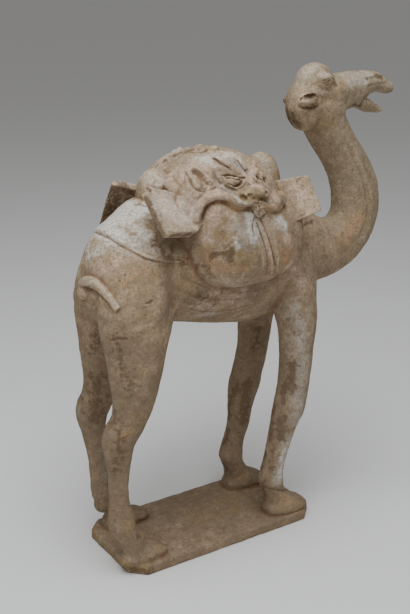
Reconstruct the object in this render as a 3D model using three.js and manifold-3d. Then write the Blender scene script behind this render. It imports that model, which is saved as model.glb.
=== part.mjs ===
// A fired-clay pack camel on its slab, in millimetres.
// +X is the way the camel faces, +Y its left side, +Z up. The origin is the centre of the slab's underside.
// The camel's right side, at -Y, is the one worked out below. Its left side is the same, mirrored.
import * as THREE from "three";
import { mergeVertices } from "three/addons/utils/BufferGeometryUtils.js";
import Module from "manifold-3d";

const wasm = await Module();
wasm.setup();

// Driving sizes of the slab
const SLAB = { length: 280, width: 134, thick: 13.4, corner: 18.4, rim: 2 };

// Each loft station is a ring across the form. "Over" is its top side if the form lay along +X: the back of
// the trunk, the nape of the neck and the front of a leg. "Under" is the opposite side.
// Stations read [x, y, z, half width, half depth over, half depth under].
const TRUNK = [
  [-161, 0, 346, 10, 14, 14],
  [-153, 0, 346, 29, 38, 36],
  [-136, 0, 348, 44, 59, 50],
  [-106, 0, 354, 57, 75, 56],
  [-60, 0, 360, 63, 82, 61],
  [5, 0, 362, 63, 81, 77],
  [62, 0, 362, 63, 80, 84],
  [105, 0, 362, 55, 72, 72],
  [134, 0, 360, 42, 58, 54],
  [150, 0, 358, 26, 40, 34],
];
const NECK = [
  [78, 0, 368, 54, 66, 68],
  [118, 0, 366, 45, 57, 58],
  [155, 0, 359, 37, 47, 48],
  [190, 0, 356, 32, 38, 42],
  [222, 0, 366, 28, 34, 38],
  [241, 0, 392, 26, 33, 38],
  [241, 0, 424, 25, 33, 36],
  [230, 0, 454, 24, 29, 31],
  [209, 0, 484, 23, 26, 28],
  [188, 0, 512, 23, 26, 30],
  [176, 0, 532, 22, 25, 28],
];
const HIND_LEG = [
  [-98, -22, 412, 8, 10, 10],
  [-104, -27, 396, 24, 30, 30],
  [-111, -33, 360, 33, 48, 43],
  [-116, -37, 320, 33, 48, 44],
  [-119, -41, 286, 30, 39, 36],
  [-121, -44, 256, 26, 33, 31],
  [-124, -45, 226, 21, 26, 25],
  [-132, -45, 200, 18, 21, 21],
  [-143, -45, 182, 17.5, 20, 22],
  [-146, -45, 158, 13.5, 16, 16],
  [-147, -45, 128, 11, 12.5, 12],
  [-147, -45, 98, 11, 12.5, 12],
  [-146, -45, 80, 13, 17, 14.5],
  [-145, -45, 64, 15, 18, 15],
  [-139, -45, 49, 14, 15, 10],
  [-133, -45, 34, 15, 17, 10],
  [-132, -45, 12, 14, 12, 8],
];
const FORE_LEG = [
  [104, -18, 404, 8, 10, 10],
  [108, -24, 388, 20, 32, 28],
  [112, -31, 350, 27, 35, 32],
  [115, -37, 308, 26, 31, 31],
  [118, -42, 275, 23, 26, 26],
  [117, -44, 245, 20.5, 23, 23.5],
  [116, -44, 215, 19, 22, 22],
  [112, -44, 186, 18.5, 22, 21],
  [107, -44, 162, 19, 23, 21],
  [100, -44, 140, 16.5, 18, 19],
  [91, -44, 110, 14, 15.5, 15.5],
  [84, -44, 84, 13, 14, 15],
  [82, -44, 64, 15, 15, 19],
  [84, -44, 48, 14, 15, 13],
  [88, -44, 32, 14, 20, 14],
  [88, -44, 12, 12, 12, 12],
];
// How far ahead of the right legs the left ones stand, at falling heights
const HIND_AHEAD = [[400, 6], [200, 8], [80, 22], [55, 24], [30, 13]];
const FORE_AHEAD = [[400, -2], [230, -3], [165, -11], [110, -2], [30, -5]];

// The pad of a foot from heel to toe, with the pastern's middle at its zero
const PAD = [
  [-16, 0, 20, 10, 5, 10],
  [-8, 0, 20, 16, 12, 12],
  [6, 0, 20, 20, 21, 12],
  [20, 0, 20, 21, 17, 12],
  [34, 0, 20, 20, 9, 12],
  [44, 0, 19, 15, 4, 11],
  [48, 0, 17, 8, 1, 8],
];
const HIND_PAD = { at: [-132, -44], wide: 0.88 };
const FORE_PAD = { at: [88, -44], wide: 1.05 };

const CROWN = { at: [168, 0, 563], half: [27, 25, 31] };
const OCCIPUT = { at: [153, 0, 542], half: [23, 28, 32] };
const MUZZLE = [
  [178, 0, 558, 24, 22, 26],
  [200, 0, 556, 23, 23, 24],
  [220, 0, 556, 20, 24.5, 24],
  [238, 0, 558, 17, 23, 20],
  [252, 0, 562, 15.5, 18.5, 14],
  [266, 0, 563, 15, 15, 12],
  [277, 0, 559, 14.5, 12, 8.5],
  [282, 0, 556, 13.5, 6, 5.5],
  [290, 0, 556, 12, 5, 5],
  [293, 0, 556, 9, 4, 4],
];
const JAW = [
  [228, 0, 543, 13, 6, 7],
  [246, 0, 539, 12.5, 7, 8.5],
  [258, 0, 535, 11.5, 7.5, 9.5],
  [267, 0, 532, 10.5, 6, 7],
  [274, 0, 530, 9, 4, 4],
  [277, 0, 530, 6, 2.5, 2.5],
];
const FACE = [
  { at: [172, -18, 574], half: [14, 8, 8], turn: [0, 0.35, 0] },
  { at: [179, -20, 567], half: [7, 5.5, 5] },
  { at: [192, -17, 556], half: [19, 9, 17] },
  { at: [206, -13, 546], half: [15, 9, 13] },
];
const NOSTRIL = { at: [272, -10, 572], half: [6, 3, 4], turn: [0, 0.5, 0] };
const EAR = { at: [136, -30, 555], half: [19, 7, 9.5], turn: [0, -0.2, 0.1] };
const EAR_HOLLOW = { at: [138, -35, 556.5], half: [14, 6, 6], turn: [0, -0.2, 0.1] };
// The left ear is broken down to a stub
const EAR_STUB = { at: [156, 26, 550], half: [11, 7, 9] };

// The docked tail is laid over the right buttock from its root on the spine
const TAIL_ROOT = { at: [-163, 3, 355], half: [9, 10, 12] };
const TAIL = {
  path: [[-162, 4, 362], [-158, -8, 368], [-155, -21, 369], [-153, -35, 365], [-151, -45, 358], [-147, -56, 345]],
  radii: [5, 5.5, 5, 4.5, 4, 2.5],
};

const HIND_HUMP = { at: [-64, 0, 452], half: [22, 25, 33] };
const FORE_HUMP = { at: [88, 0, 455], half: [23, 25, 35] };

// The rolled hem of the blanket, from the spine down over the right haunch and along the flank
const HEM = {
  path: [[-135, 0, 416], [-128, -21, 411], [-120, -40, 404], [-108, -50, 397], [-88, -55, 390], [-66, -60, 388],
    [-46, -64, 382]],
  radius: 3.5,
};

// The ends of the two saddle boards that stand out of the bag, as stations along them:
// [x, y and z of the top edge, y and z of the bottom edge]. Behind, the board is cut on a slant.
const BOARD = { thick: 13, slant: 5 };
const RIGHT_HIND_BOARD = [[-98, -50, 474, -85, 431], [-52, -50, 465, -86, 428], [-20, -48, 460, -80, 424]];
const RIGHT_FORE_BOARD = [[40, -44, 462, -72, 422], [76, -52, 465, -82, 419], [121, -54, 467, -81, 428]];
const LEFT_HIND_BOARD = [[-91, 50, 467, 85, 411], [-58, 50, 458, 86, 409], [-20, 48, 456, 80, 412]];
const LEFT_FORE_BOARD = [[40, 44, 460, 72, 420], [75, 52, 462, 82, 416], [118, 54, 465, 80, 424]];

// The saddlebag: a monster's head over the back, and a full pouch in its jaws on either flank
const HEAD_DOME = { at: [10, 0, 425], half: [77, 86, 78], power: 3, rise: 2.2 };
const POUCH = { at: [26, -42, 399], half: [81, 46, 58], power: 3.2, rise: 2.4 };

// Clay laid on for the monster's face: rounded lumps, and rolls with a path and the radii along it.
// Both flanks have the first of these. The right flank has the rest as well.
const MASK_LUMPS = [
  { at: [0, -69, 475], half: [8.5, 5, 5.5] }, // eye
  { at: [38, -66, 475], half: [8, 5, 5.5] }, // eye in front
  { at: [22, -82, 462], half: [13, 8, 8] }, // nose
  { at: [56, -75, 446], half: [13, 10, 11] }, // cheek in front
  { at: [22, -87, 440], half: [8, 5, 7] }, // knot of the bag's tie
];
const MASK_ROLLS = [
  { path: [[-9, -33, 498], [-2, -45, 494], [5, -57, 487], [10, -64, 480]], radii: [2, 4, 4, 2] }, // brow
  { // lip, from the board up over the pouch and forward under the nose
    path: [[-60, -76, 424], [-53, -76, 442], [-42, -71, 458], [-27, -74, 464], [-13, -78, 461], [0, -84, 452],
      [20, -86, 450], [40, -85, 441], [58, -79, 438]],
    radii: [9, 8.5, 7.5, 7, 6.5, 5, 4, 4, 4],
  },
  { path: [[24, -87, 434], [30, -89, 415], [36, -89, 394], [49, -80, 362]], radii: [3, 3.5, 3.5, 2] }, // strap
];
const RIGHT_MASK_EAR = { at: [-36, -50, 477], half: [12, 7, 14], turn: [-0.6, 0.35, -0.4] };
const RIGHT_MASK_EAR_HOLLOW = { at: [-38, -55, 481], half: [6, 6, 9], turn: [-0.6, 0.35, -0.4] };
const RIGHT_LUMPS = [
  { at: [21, -73, 470], half: [7, 8, 11] }, // bridge of the nose
  { at: [11, -84, 459], half: [6.5, 5, 5.5] }, // nostril
  { at: [33, -83, 459], half: [6.5, 5, 5.5] }, // nostril in front
];
const RIGHT_ROLLS = [
  { path: [[-12, -61, 480], [-3, -63, 482.5], [6, -65, 481], [14, -69, 475]], radii: [2, 3, 3, 2] }, // eyelid
  { path: [[47, -37, 488], [41, -48, 487], [33, -60, 484]], radii: [2, 3.5, 3] }, // brow in front
  { path: [[-12, -61, 480], [-8, -70, 472], [1, -74, 467], [14, -69, 475]], radii: [2, 2.5, 2.5, 2] }, // under the eye
  { path: [[-19, -60, 481], [-15, -69, 471], [-6, -76, 463], [5, -78, 462]], radii: [2, 3, 3, 2] }, // eye pouch
  { path: [[27, -69, 475], [34, -64, 482], [45, -61, 479]], radii: [2, 3, 2] }, // eyelid in front
  { path: [[20, -41, 496], [20, -52, 491], [21, -62, 484]], radii: [2, 4, 3] }, // frown
  { path: [[-20, -81, 452], [-27, -83, 443]], radii: [4, 2.5] }, // tusk
  { path: [[18, -87, 434], [23, -89, 412], [28, -88, 390], [37, -82, 362]], radii: [3, 3, 3, 2] }, // strap behind
  { path: [[31, -86, 434], [40, -88, 412], [49, -87, 390], [58, -79, 364]], radii: [2, 3, 3, 2] }, // strap in front
];
const LEFT_MASK_EAR = { at: [-36, 64, 458], half: [12, 6, 12] };
const MANE = { curls: 5, from: [-52, 476], to: [8, 502], apart: 3, radius: 4.5 };

const across = new THREE.Vector3(0, 1, 0);

// A geometry as a manifold-3d solid
function solid(geometry) {
  const bare = geometry.clone();
  bare.deleteAttribute("normal");
  bare.deleteAttribute("uv");
  const merged = mergeVertices(bare, 1e-4);
  return new wasm.Manifold(
    new wasm.Mesh({
      numProp: 3,
      vertProperties: merged.attributes.position.array,
      triVerts: new Uint32Array(merged.index.array),
    }),
  );
}

// A closed skin over rings of points, all with the same count, with a flat fan at either end
function skin(rings) {
  const sides = rings[0].length;
  const centre = (ring) => ring.reduce((sum, p) => sum.add(p), new THREE.Vector3()).divideScalar(sides);
  const points = [...rings.flat(), centre(rings[0]), centre(rings.at(-1))];
  const last = (rings.length - 1) * sides;
  const index = [];
  for (let k = 0; k < sides; k++) {
    const next = (k + 1) % sides;
    for (let start = 0; start < last; start += sides) {
      const [a, b] = [start + k, start + next];
      index.push(a, b, a + sides, b, b + sides, a + sides);
    }
    index.push(points.length - 2, next, k, points.length - 1, last + k, last + next);
  }
  return solid(new THREE.BufferGeometry().setFromPoints(points).setIndex(index));
}

// A form threaded through stations, smooth between them, with a number of rings a span
function loft(stations, sides, steps) {
  const smooth = (vectors) => new THREE.CatmullRomCurve3(vectors, false, "catmullrom", 0.5);
  const centres = smooth(stations.map(([x, y, z]) => new THREE.Vector3(x, y, z)));
  const halves = smooth(stations.map(([, , , ...half]) => new THREE.Vector3(...half)));
  const spans = (stations.length - 1) * steps;
  const rings = Array.from({ length: spans + 1 }, (_, i) => {
    const centre = centres.getPoint(i / spans);
    const half = halves.getPoint(i / spans);
    const over = centres.getTangent(i / spans).setY(0).normalize().cross(across);
    return Array.from({ length: sides }, (_, k) => {
      const turn = (2 * Math.PI * k) / sides;
      const rise = Math.sin(turn) * (Math.sin(turn) > 0 ? half.y : half.z);
      return centre.clone().addScaledVector(across, half.x * Math.cos(turn)).addScaledVector(over, rise);
    });
  });
  return skin(rings);
}

// A roll of clay laid along a path, thick as its radii say from end to end
function roll(path, radii, sides, steps) {
  const curve = new THREE.CatmullRomCurve3(path.map((p) => new THREE.Vector3(...p)));
  const thick = new THREE.CatmullRomCurve3(radii.map((r) => new THREE.Vector3(r, 0, 0)));
  const frames = curve.computeFrenetFrames(steps);
  const rings = Array.from({ length: steps + 1 }, (_, i) => {
    const radius = thick.getPoint(i / steps).x;
    return Array.from({ length: sides }, (_, k) => {
      const turn = (2 * Math.PI * k) / sides;
      return curve.getPointAt(i / steps)
        .addScaledVector(frames.normals[i], radius * Math.cos(turn))
        .addScaledVector(frames.binormals[i], radius * Math.sin(turn));
    });
  });
  return skin(rings);
}

// An ellipsoid, or with powers over 2 a cushion: "power" squares it seen from above, "rise" seen from the side
function ellipsoid({ at, half, turn = [0, 0, 0], power = 2, rise = power }, around = 8, down = 4) {
  const geometry = new THREE.SphereGeometry(1, around, down).rotateX(Math.PI / 2);
  const place = geometry.attributes.position;
  for (let i = 0; i < place.count; i++) {
    const p = new THREE.Vector3().fromBufferAttribute(place, i);
    const level = (Math.abs(p.x) ** power + Math.abs(p.y) ** power) ** (1 / power);
    place.setXYZ(i, ...p.divideScalar((level ** rise + Math.abs(p.z) ** rise) ** (1 / rise)).toArray());
  }
  geometry.scale(...half).applyMatrix4(new THREE.Matrix4().makeRotationFromEuler(new THREE.Euler(...turn)));
  return solid(geometry.translate(...at));
}

const join = (solids) => solids.reduce((whole, piece) => whole.add(piece));

// A solid together with its mirror image on the camel's other side
function bothSides(made) {
  const { vertProperties, triVerts, numProp } = made.getMesh();
  const geometry = new THREE.BufferGeometry();
  geometry.setAttribute("position", new THREE.BufferAttribute(vertProperties, numProp));
  geometry.setIndex(Array.from(triVerts).reverse()).scale(1, -1, 1);
  return made.add(solid(geometry));
}

function slab() {
  const { length, width, thick, corner, rim } = SLAB;
  const [x, y] = [length / 2 - rim, width / 2 - rim];
  const outline = new THREE.Shape([
    [-x + corner, -y], [x - corner, -y], [x, -y + corner], [x, y - corner],
    [x - corner, y], [-x + corner, y], [-x, y - corner], [-x, -y + corner],
  ].map(([a, b]) => new THREE.Vector2(a, b)));
  return solid(new THREE.ExtrudeGeometry(outline, {
    depth: thick - 2 * rim, bevelThickness: rim, bevelSize: rim, bevelSegments: 1,
  }).translate(0, 0, rim));
}

// How far ahead something on the left side stands at a height
function aheadAt(steps, z) {
  const below = steps.findIndex(([height]) => height <= z);
  if (below === 0) return steps[0][1];
  if (below < 0) return steps.at(-1)[1];
  const [[highZ, high], [lowZ, low]] = [steps[below - 1], steps[below]];
  return THREE.MathUtils.lerp(low, high, (z - lowZ) / (highZ - lowZ));
}

function pad({ at: [x, y], wide }) {
  return loft(PAD.map(([dx, , z, half, ...depth]) => [x + dx, y, z, half * wide, ...depth]), 10, 1);
}

function legPair(stations, footPad, ahead) {
  const left = stations.map(([x, y, z, ...half]) => [x + aheadAt(ahead, z), -y, z, ...half]);
  const [x, y] = footPad.at;
  const leftPad = { ...footPad, at: [x + aheadAt(ahead, 0), -y] };
  return [loft(stations, 10, 1), loft(left, 10, 1), pad(footPad), pad(leftPad)];
}

function head() {
  const sides = join(FACE.map((lump) => ellipsoid(lump)));
  const ear = ellipsoid(EAR, 10, 6).subtract(ellipsoid(EAR_HOLLOW));
  return join([
    ellipsoid(CROWN, 14, 8), ellipsoid(OCCIPUT, 14, 8), loft(MUZZLE, 12, 1), loft(JAW, 8, 1),
    bothSides(sides), ear, ellipsoid(EAR_STUB),
  ]).subtract(bothSides(ellipsoid(NOSTRIL)));
}

function hem() {
  const { path, radius } = HEM;
  const left = path.slice(1).reverse().map(([x, y, z]) => [x, -y, z]);
  const whole = [...left, ...path];
  const tapered = whole.map((_, i) => (i % (whole.length - 1) ? radius : radius / 3));
  return roll(whole, tapered, 4, whole.length);
}

// A board is a strip of slab between its top and bottom edges, with its thickness on the inner face
function board(stations) {
  const rings = stations.map(([x, topY, topZ, lowY, lowZ]) => {
    const top = new THREE.Vector3(x, topY, topZ);
    const low = new THREE.Vector3(x, lowY, lowZ);
    const outward = Math.sign(lowY);
    const inward = low.clone().sub(top).normalize().cross(new THREE.Vector3(outward, 0, 0))
      .multiplyScalar(BOARD.thick);
    inward.x = -BOARD.slant;
    const ring = [top, low, low.clone().add(inward), top.clone().add(inward)];
    return outward < 0 ? ring : ring.reverse();
  });
  return skin(rings);
}

function clay(lumps, rolls) {
  return join([
    ...lumps.map((lump) => ellipsoid(lump)),
    ...rolls.map(({ path, radii }) => roll(path, radii, 4, path.length - 1)),
  ]);
}

// The dome and the pouches, the face on both flanks, and a row of curls on the spine behind
function saddlebag() {
  const { curls, from: [hindX, hindZ], to: [foreX, foreZ], apart, radius } = MANE;
  const mane = Array.from({ length: curls }, (_, i) => {
    const along = i / (curls - 1);
    const x = THREE.MathUtils.lerp(hindX, foreX, along);
    const z = hindZ + (foreZ - hindZ) * Math.sin((along * Math.PI) / 2);
    return ellipsoid({ at: [x, i % 2 ? apart : -apart, z], half: [radius, radius, radius] }, 6, 4);
  });
  const ear = ellipsoid(RIGHT_MASK_EAR).subtract(ellipsoid(RIGHT_MASK_EAR_HOLLOW));
  const flank = ellipsoid(POUCH, 16, 8).add(clay(MASK_LUMPS, MASK_ROLLS));
  const rightOnly = clay(RIGHT_LUMPS, RIGHT_ROLLS);
  return join([ellipsoid(HEAD_DOME, 18, 10), bothSides(flank), rightOnly, ear, ellipsoid(LEFT_MASK_EAR), ...mane]);
}

const figureParts = join([
  slab(),
  loft(TRUNK, 20, 1),
  hem(),
  loft(NECK, 14, 1),
  ...legPair(HIND_LEG, HIND_PAD, HIND_AHEAD),
  ...legPair(FORE_LEG, FORE_PAD, FORE_AHEAD),
  head(),
  ellipsoid(HIND_HUMP, 12, 8),
  ellipsoid(FORE_HUMP, 12, 8),
  ...[RIGHT_HIND_BOARD, RIGHT_FORE_BOARD, LEFT_HIND_BOARD, LEFT_FORE_BOARD].map(board),
  saddlebag(),
  ellipsoid(TAIL_ROOT),
  roll(TAIL.path, TAIL.radii, 6, 6),
]);

// Pockets shut in between lumps of clay are filled: only the outer skin is kept
const camel = figureParts.decompose().reduce((most, shell) => (shell.volume() > most.volume() ? shell : most));

const material = new THREE.MeshStandardMaterial({ color: 0xb39a7d, roughness: 0.9, metalness: 0 });
function mesh(name, made) {
  const { vertProperties, triVerts, numProp } = made.getMesh();
  const geometry = new THREE.BufferGeometry();
  geometry.setAttribute("position", new THREE.BufferAttribute(vertProperties, numProp));
  geometry.setIndex(new THREE.BufferAttribute(triVerts, 1));
  const result = new THREE.Mesh(geometry, material);
  result.name = name;
  return result;
}
const figure = new THREE.Group();
figure.add(mesh("camel_figure", camel));
export default figure;
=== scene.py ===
"""A fired-clay pack camel: the clay skin, its modelling and its worn surface, on a plain stage."""

import math

import bmesh
import bpy
import numpy as np
from bpy.props import FloatProperty, FloatVectorProperty, IntProperty, PointerProperty
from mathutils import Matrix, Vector
from mathutils.bvhtree import BVHTree


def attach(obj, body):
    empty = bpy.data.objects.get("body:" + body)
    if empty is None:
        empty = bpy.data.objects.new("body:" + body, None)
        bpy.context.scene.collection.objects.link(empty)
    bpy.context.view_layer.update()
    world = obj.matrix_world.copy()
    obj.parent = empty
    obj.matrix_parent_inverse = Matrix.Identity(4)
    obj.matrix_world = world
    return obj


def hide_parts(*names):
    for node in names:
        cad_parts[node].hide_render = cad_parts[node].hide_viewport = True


bl_info = {
    "name": "Clay pack camel",
    "version": (1, 0, 0),
    "blender": (4, 5, 0),
    "location": "View3D > Sidebar > Clay",
    "description": "Models a pack camel in clay, fires it and sets it on a plain stage",
    "category": "Add Mesh",
}

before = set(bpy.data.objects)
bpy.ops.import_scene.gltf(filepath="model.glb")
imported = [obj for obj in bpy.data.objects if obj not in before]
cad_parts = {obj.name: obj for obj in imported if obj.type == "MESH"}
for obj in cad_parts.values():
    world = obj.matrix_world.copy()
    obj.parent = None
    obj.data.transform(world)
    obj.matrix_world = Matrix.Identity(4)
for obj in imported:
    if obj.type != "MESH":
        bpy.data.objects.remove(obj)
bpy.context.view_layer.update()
SOLID = "camel_figure"

MM = 0.001

# +X is the way the camel faces, +Y its left side, +Z up. Every size below is in millimetres.
# A loft station reads [x, y, z, half width, half depth over, half depth under]: "over" is the top side if the
# form lay along +X, so the back of the trunk, the nape of the neck and the front of a leg.
TRUNK = [
    [-161, 0, 346, 10, 14, 14],
    [-153, 0, 346, 30, 39, 37],
    [-136, 0, 348, 45, 60, 51],
    [-106, 0, 354, 58, 75, 57],
    [-60, 0, 360, 63, 81, 61],
    [5, 0, 362, 63, 80, 77],
    [62, 0, 362, 63, 79, 84],
    [105, 0, 362, 56, 73, 73],
    [134, 0, 360, 43, 59, 55],
    [150, 0, 358, 27, 41, 35],
]
NECK = [
    [78, 0, 368, 54, 66, 68],
    [118, 0, 366, 46, 58, 59],
    [155, 0, 359, 38, 48, 49],
    [190, 0, 356, 33, 39, 43],
    [222, 0, 366, 29, 34, 39],
    [241, 0, 392, 27, 33, 38],
    [241, 0, 424, 26, 33, 37],
    [230, 0, 454, 25, 30, 32],
    [209, 0, 484, 24.5, 27, 29],
    [188, 0, 512, 26, 27, 31],
    [176, 0, 532, 27, 26, 29],
    [170, 0, 548, 25, 22, 26],
]
HIND_LEG = [
    [-98, -22, 412, 8, 10, 10],
    [-104, -27, 396, 25, 31, 31],
    [-111, -33, 360, 34, 49, 44],
    [-116, -37, 320, 34, 49, 45],
    [-119, -41, 286, 31, 40, 37],
    [-121, -44, 256, 27, 34, 32],
    [-124, -45, 226, 22, 27, 26],
    [-132, -45, 200, 19, 22, 22],
    [-143, -45, 182, 18, 21, 23],
    [-146, -45, 158, 14, 16.5, 16.5],
    [-147, -45, 128, 11.5, 13, 12.5],
    [-147, -45, 98, 11.5, 13, 12.5],
    [-146, -45, 80, 13.5, 17.5, 15],
    [-145, -45, 64, 15.5, 18.5, 15.5],
    [-139, -45, 49, 14.5, 15.5, 10.5],
    [-133, -45, 34, 15.5, 17.5, 10.5],
    [-132, -45, 12, 14, 12, 8],
]
FORE_LEG = [
    [104, -18, 404, 8, 10, 10],
    [108, -24, 388, 20, 32, 28],
    [112, -31, 350, 28, 36, 33],
    [115, -37, 308, 27, 32, 32],
    [118, -42, 275, 24, 27, 27],
    [117, -44, 245, 21, 24, 24],
    [116, -44, 215, 19.5, 22.5, 22.5],
    [112, -44, 186, 19, 22.5, 21.5],
    [107, -44, 162, 19.5, 23.5, 21.5],
    [100, -44, 140, 17, 18.5, 19.5],
    [91, -44, 110, 14.5, 16, 16],
    [84, -44, 84, 13.5, 14.5, 15.5],
    [82, -44, 64, 15.5, 15.5, 19.5],
    [84, -44, 48, 14.5, 15.5, 13.5],
    [88, -44, 32, 14.5, 20, 14.5],
    [88, -44, 12, 12, 12, 12],
]
# How far ahead of the right legs the left ones stand, at falling heights
HIND_AHEAD = [(400, 6), (200, 8), (80, 22), (30, 24)]
FORE_AHEAD = [(400, -2), (230, -3), (165, -11), (110, -2), (30, -5)]
# A foot from heel to toe, with the pastern's middle at its zero
PAD = [
    [-16, 0, 20, 10, 5, 10],
    [-8, 0, 20, 16, 12, 12],
    [6, 0, 20, 20, 21, 12],
    [20, 0, 20, 21, 17, 12],
    [34, 0, 20, 20, 9, 12],
    [44, 0, 19, 15, 4, 11],
    [48, 0, 17, 8, 1, 8],
]
HIND_PAD = {"at": (-132, -44), "wide": 0.88, "tall": 0.75}
FORE_PAD = {"at": (88, -44), "wide": 1.05, "tall": 1.0}

# Where the left hind pastern hangs back over its foot
PASTERN = {"at": (-122, 45, 47), "half": (13, 12, 12)}

SLAB_RIM = 1.5

CROWN = {"at": (168, 0, 563), "half": (27, 25, 31)}
OCCIPUT = {"at": (153, 0, 542), "half": (23, 26, 32)}
MUZZLE = [
    [178, 0, 558, 24, 22, 26],
    [200, 0, 556, 23, 23, 24],
    [220, 0, 556, 20, 24.5, 24],
    [238, 0, 558, 17, 23, 20],
    [252, 0, 562, 15.5, 18.5, 14],
    [266, 0, 563, 15, 15, 12],
    [277, 0, 559, 14.5, 12, 8.5],
    [282, 0, 557, 14.5, 8, 7.5],
    [289, 0, 556.5, 13.5, 8.5, 8.5],
    [293, 0, 556, 12, 7.5, 8],
]
JAW = [
    [228, 0, 543, 13, 6, 7],
    [246, 0, 539, 12.5, 7, 8.5],
    [258, 0, 535, 11.5, 7.5, 9.5],
    [267, 0, 532, 10.5, 5, 7],
    [274, 0, 530, 10, 4.5, 6],
    [278, 0, 529.5, 8, 3.5, 4.5],
]
# Lumps of clay that build up the right side of the face: cheekbone, eyelid, cheek and the root of the jaw
FACE = [
    {"at": (171, -19, 575), "half": (12, 8, 7.5), "turn": (0, 0.35, 0)},
    {"at": (174, -19, 568), "half": (8, 5.5, 6)},
    {"at": (192, -17, 556), "half": (19, 9, 17)},
    {"at": (206, -13, 546), "half": (15, 9, 13)},
    {"at": (188, -14, 536), "half": (19, 12, 20)},
]
NOSTRIL = {"at": (272, -10, 572), "half": (6, 3, 4), "turn": (0, 0.5, 0)}
EAR = {"at": (135, -31, 555), "half": (18, 7, 8.5), "turn": (0, -0.15, 0.1)}
EAR_HOLLOW = {"at": (132, -38, 557), "half": (13, 5, 3.6), "turn": (0, -0.15, 0.1)}
EAR_STUB = {"at": (147, 22, 547), "half": (9, 8, 7)}

TAIL_ROOT = {"at": (-160, -1, 353), "half": (8, 9, 10)}
TAIL = {
    "path": [(-162, 3, 362), (-160, -8, 367), (-158, -21, 368), (-156, -35, 365), (-153, -47, 358), (-148, -58, 345)],
    "radii": [4.5, 6.5, 6.8, 5.6, 5.2, 4.2],
}
# The blanket's hem from the middle of the rump forward over the right flank, and how thin its two tips are
HEM = {
    "path": [
        (-135, 0, 416), (-128, -21, 411), (-120, -40, 404), (-108, -50, 397), (-88, -55, 390), (-66, -60, 388),
    ],
    "radius": 3.2,
    "tips": 0.3,
}

SADDLE_CLOTH = [
    [-141, 0, 400, 22, 12, 20],
    [-130, 0, 400, 34, 24, 20],
    [-119, 0, 400, 40, 31, 20],
    [-108, 0, 400, 44, 39, 20],
    [-96, 0, 400, 47, 48, 20],
    [-84, 0, 400, 48, 53, 20],
    [-66, 0, 400, 48, 54, 20],
]
HIND_HUMP = {"at": (-64, 0, 452), "half": (22, 25, 33)}
FORE_HUMP = {"at": (88, 0, 455), "half": (23, 25, 35)}

# How far the saddle boards slant back inwards, and how far their edges are worn
BOARD = {"slant": 8, "worn": 1.0}
# The ends of the boards: thickness, and stations (x, y and z of the top edge, x, y and z of the bottom edge)
BOARDS = {
    "right hind": (
        13, [(-98, -50, 474, -92, -85, 431), (-62, -50, 467, -59, -86, 428), (-46, -45, 464, -46, -74, 432)],
    ),
    "right fore": (13, [(40, -44, 462, 40, -72, 422), (76, -52, 465, 76, -82, 419), (121, -54, 467, 121, -81, 428)]),
    "left hind": (9, [(-91, 50, 467, -91, 85, 411), (-58, 50, 458, -58, 86, 409), (-20, 48, 456, -20, 80, 412)]),
    "left fore": (13, [(40, 44, 460, 40, 72, 420), (75, 52, 462, 75, 82, 416), (118, 54, 465, 118, 80, 424)]),
}

HEAD_DOME = {"at": (10, 0, 425), "half": (77, 86, 78), "power": 3, "rise": 2.2}
POUCH = {"at": (26, -42, 399), "half": (81, 46, 58), "power": 3.2, "rise": 2.4}

# Clay laid on for the monster's face. Both flanks have the first of these, the right flank has the rest as well.
MASK_LUMPS = [
    {"at": (0, -70, 474), "half": (10, 5, 5)},  # eye
    {"at": (38, -66, 475), "half": (8, 5, 5.5)},  # eye in front
    {"at": (22, -81, 462), "half": (13, 8, 8)},  # nose
    {"at": (56, -75, 447), "half": (14, 9, 12)},  # cheek in front
    {"at": (22, -87, 440), "half": (9, 3.5, 7)},  # knot of the bag's tie
]
MASK_ROLLS = [
    {"path": [(-9, -33, 498), (-2, -45, 494), (5, -57, 487), (10, -64, 480)], "radii": [2, 4, 4, 2]},  # brow
]
# The lip of each flank, from the board up over the pouch and forward under the nose
RIGHT_LIP = {
    "path": [
        (-62, -71, 426), (-56, -71, 442), (-45, -69, 456), (-29, -72, 461), (-13, -77, 458), (0, -82, 452),
        (20, -85, 450), (40, -84, 441), (58, -79, 438),
    ],
    "radii": [9, 8.5, 7.5, 7, 6.5, 5.5, 4.5, 4, 4],
}
LEFT_LIP = {
    "path": [
        (-52, 70, 424), (-40, 72, 438), (-25, 76, 446), (0, 83, 447), (20, 86, 447), (40, 85, 441), (58, 79, 438),
    ],
    "radii": [4, 5, 5, 5, 4, 4, 3],
}
RIGHT_MASK_EAR = {"at": (-43, -52, 480), "half": (12, 8, 15), "turn": (-0.6, 0.35, -0.4)}
LEFT_MASK_EAR = {"at": (-30, 64, 458), "half": (12, 6, 12)}
RIGHT_LUMPS = [
    {"at": (21, -73, 470), "half": (7, 8, 11)},  # bridge of the nose
    {"at": (9, -83, 459), "half": (7.5, 5, 5.5)},  # nostril
    {"at": (33, -82, 459), "half": (6.5, 5, 5.5)},  # nostril in front
]
RIGHT_ROLLS = [
    {"path": [(47, -37, 488), (41, -48, 487), (33, -60, 484)], "radii": [2, 3.5, 3]},  # brow in front
    {"path": [(27, -69, 475), (34, -64, 482), (45, -61, 479)], "radii": [2, 3, 2]},  # eyelid in front
    {"path": [(20, -41, 496), (20, -52, 491), (21, -62, 484)], "radii": [2, 4, 3]},  # frown
    # filling beside the hind hump
    {"path": [(-60, -24, 473), (-60, -34, 466), (-57, -44, 461), (-50, -49, 459)], "radii": [7, 8, 8, 7]},
    {  # cheek that fills up to the lip from above
        "path": [(-66, -58, 446), (-54, -58, 461), (-38, -58, 470), (-22, -63, 471), (-8, -70, 463), (6, -76, 457)],
        "radii": [13, 14, 14, 12.5, 10.5, 8],
    },
]
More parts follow.
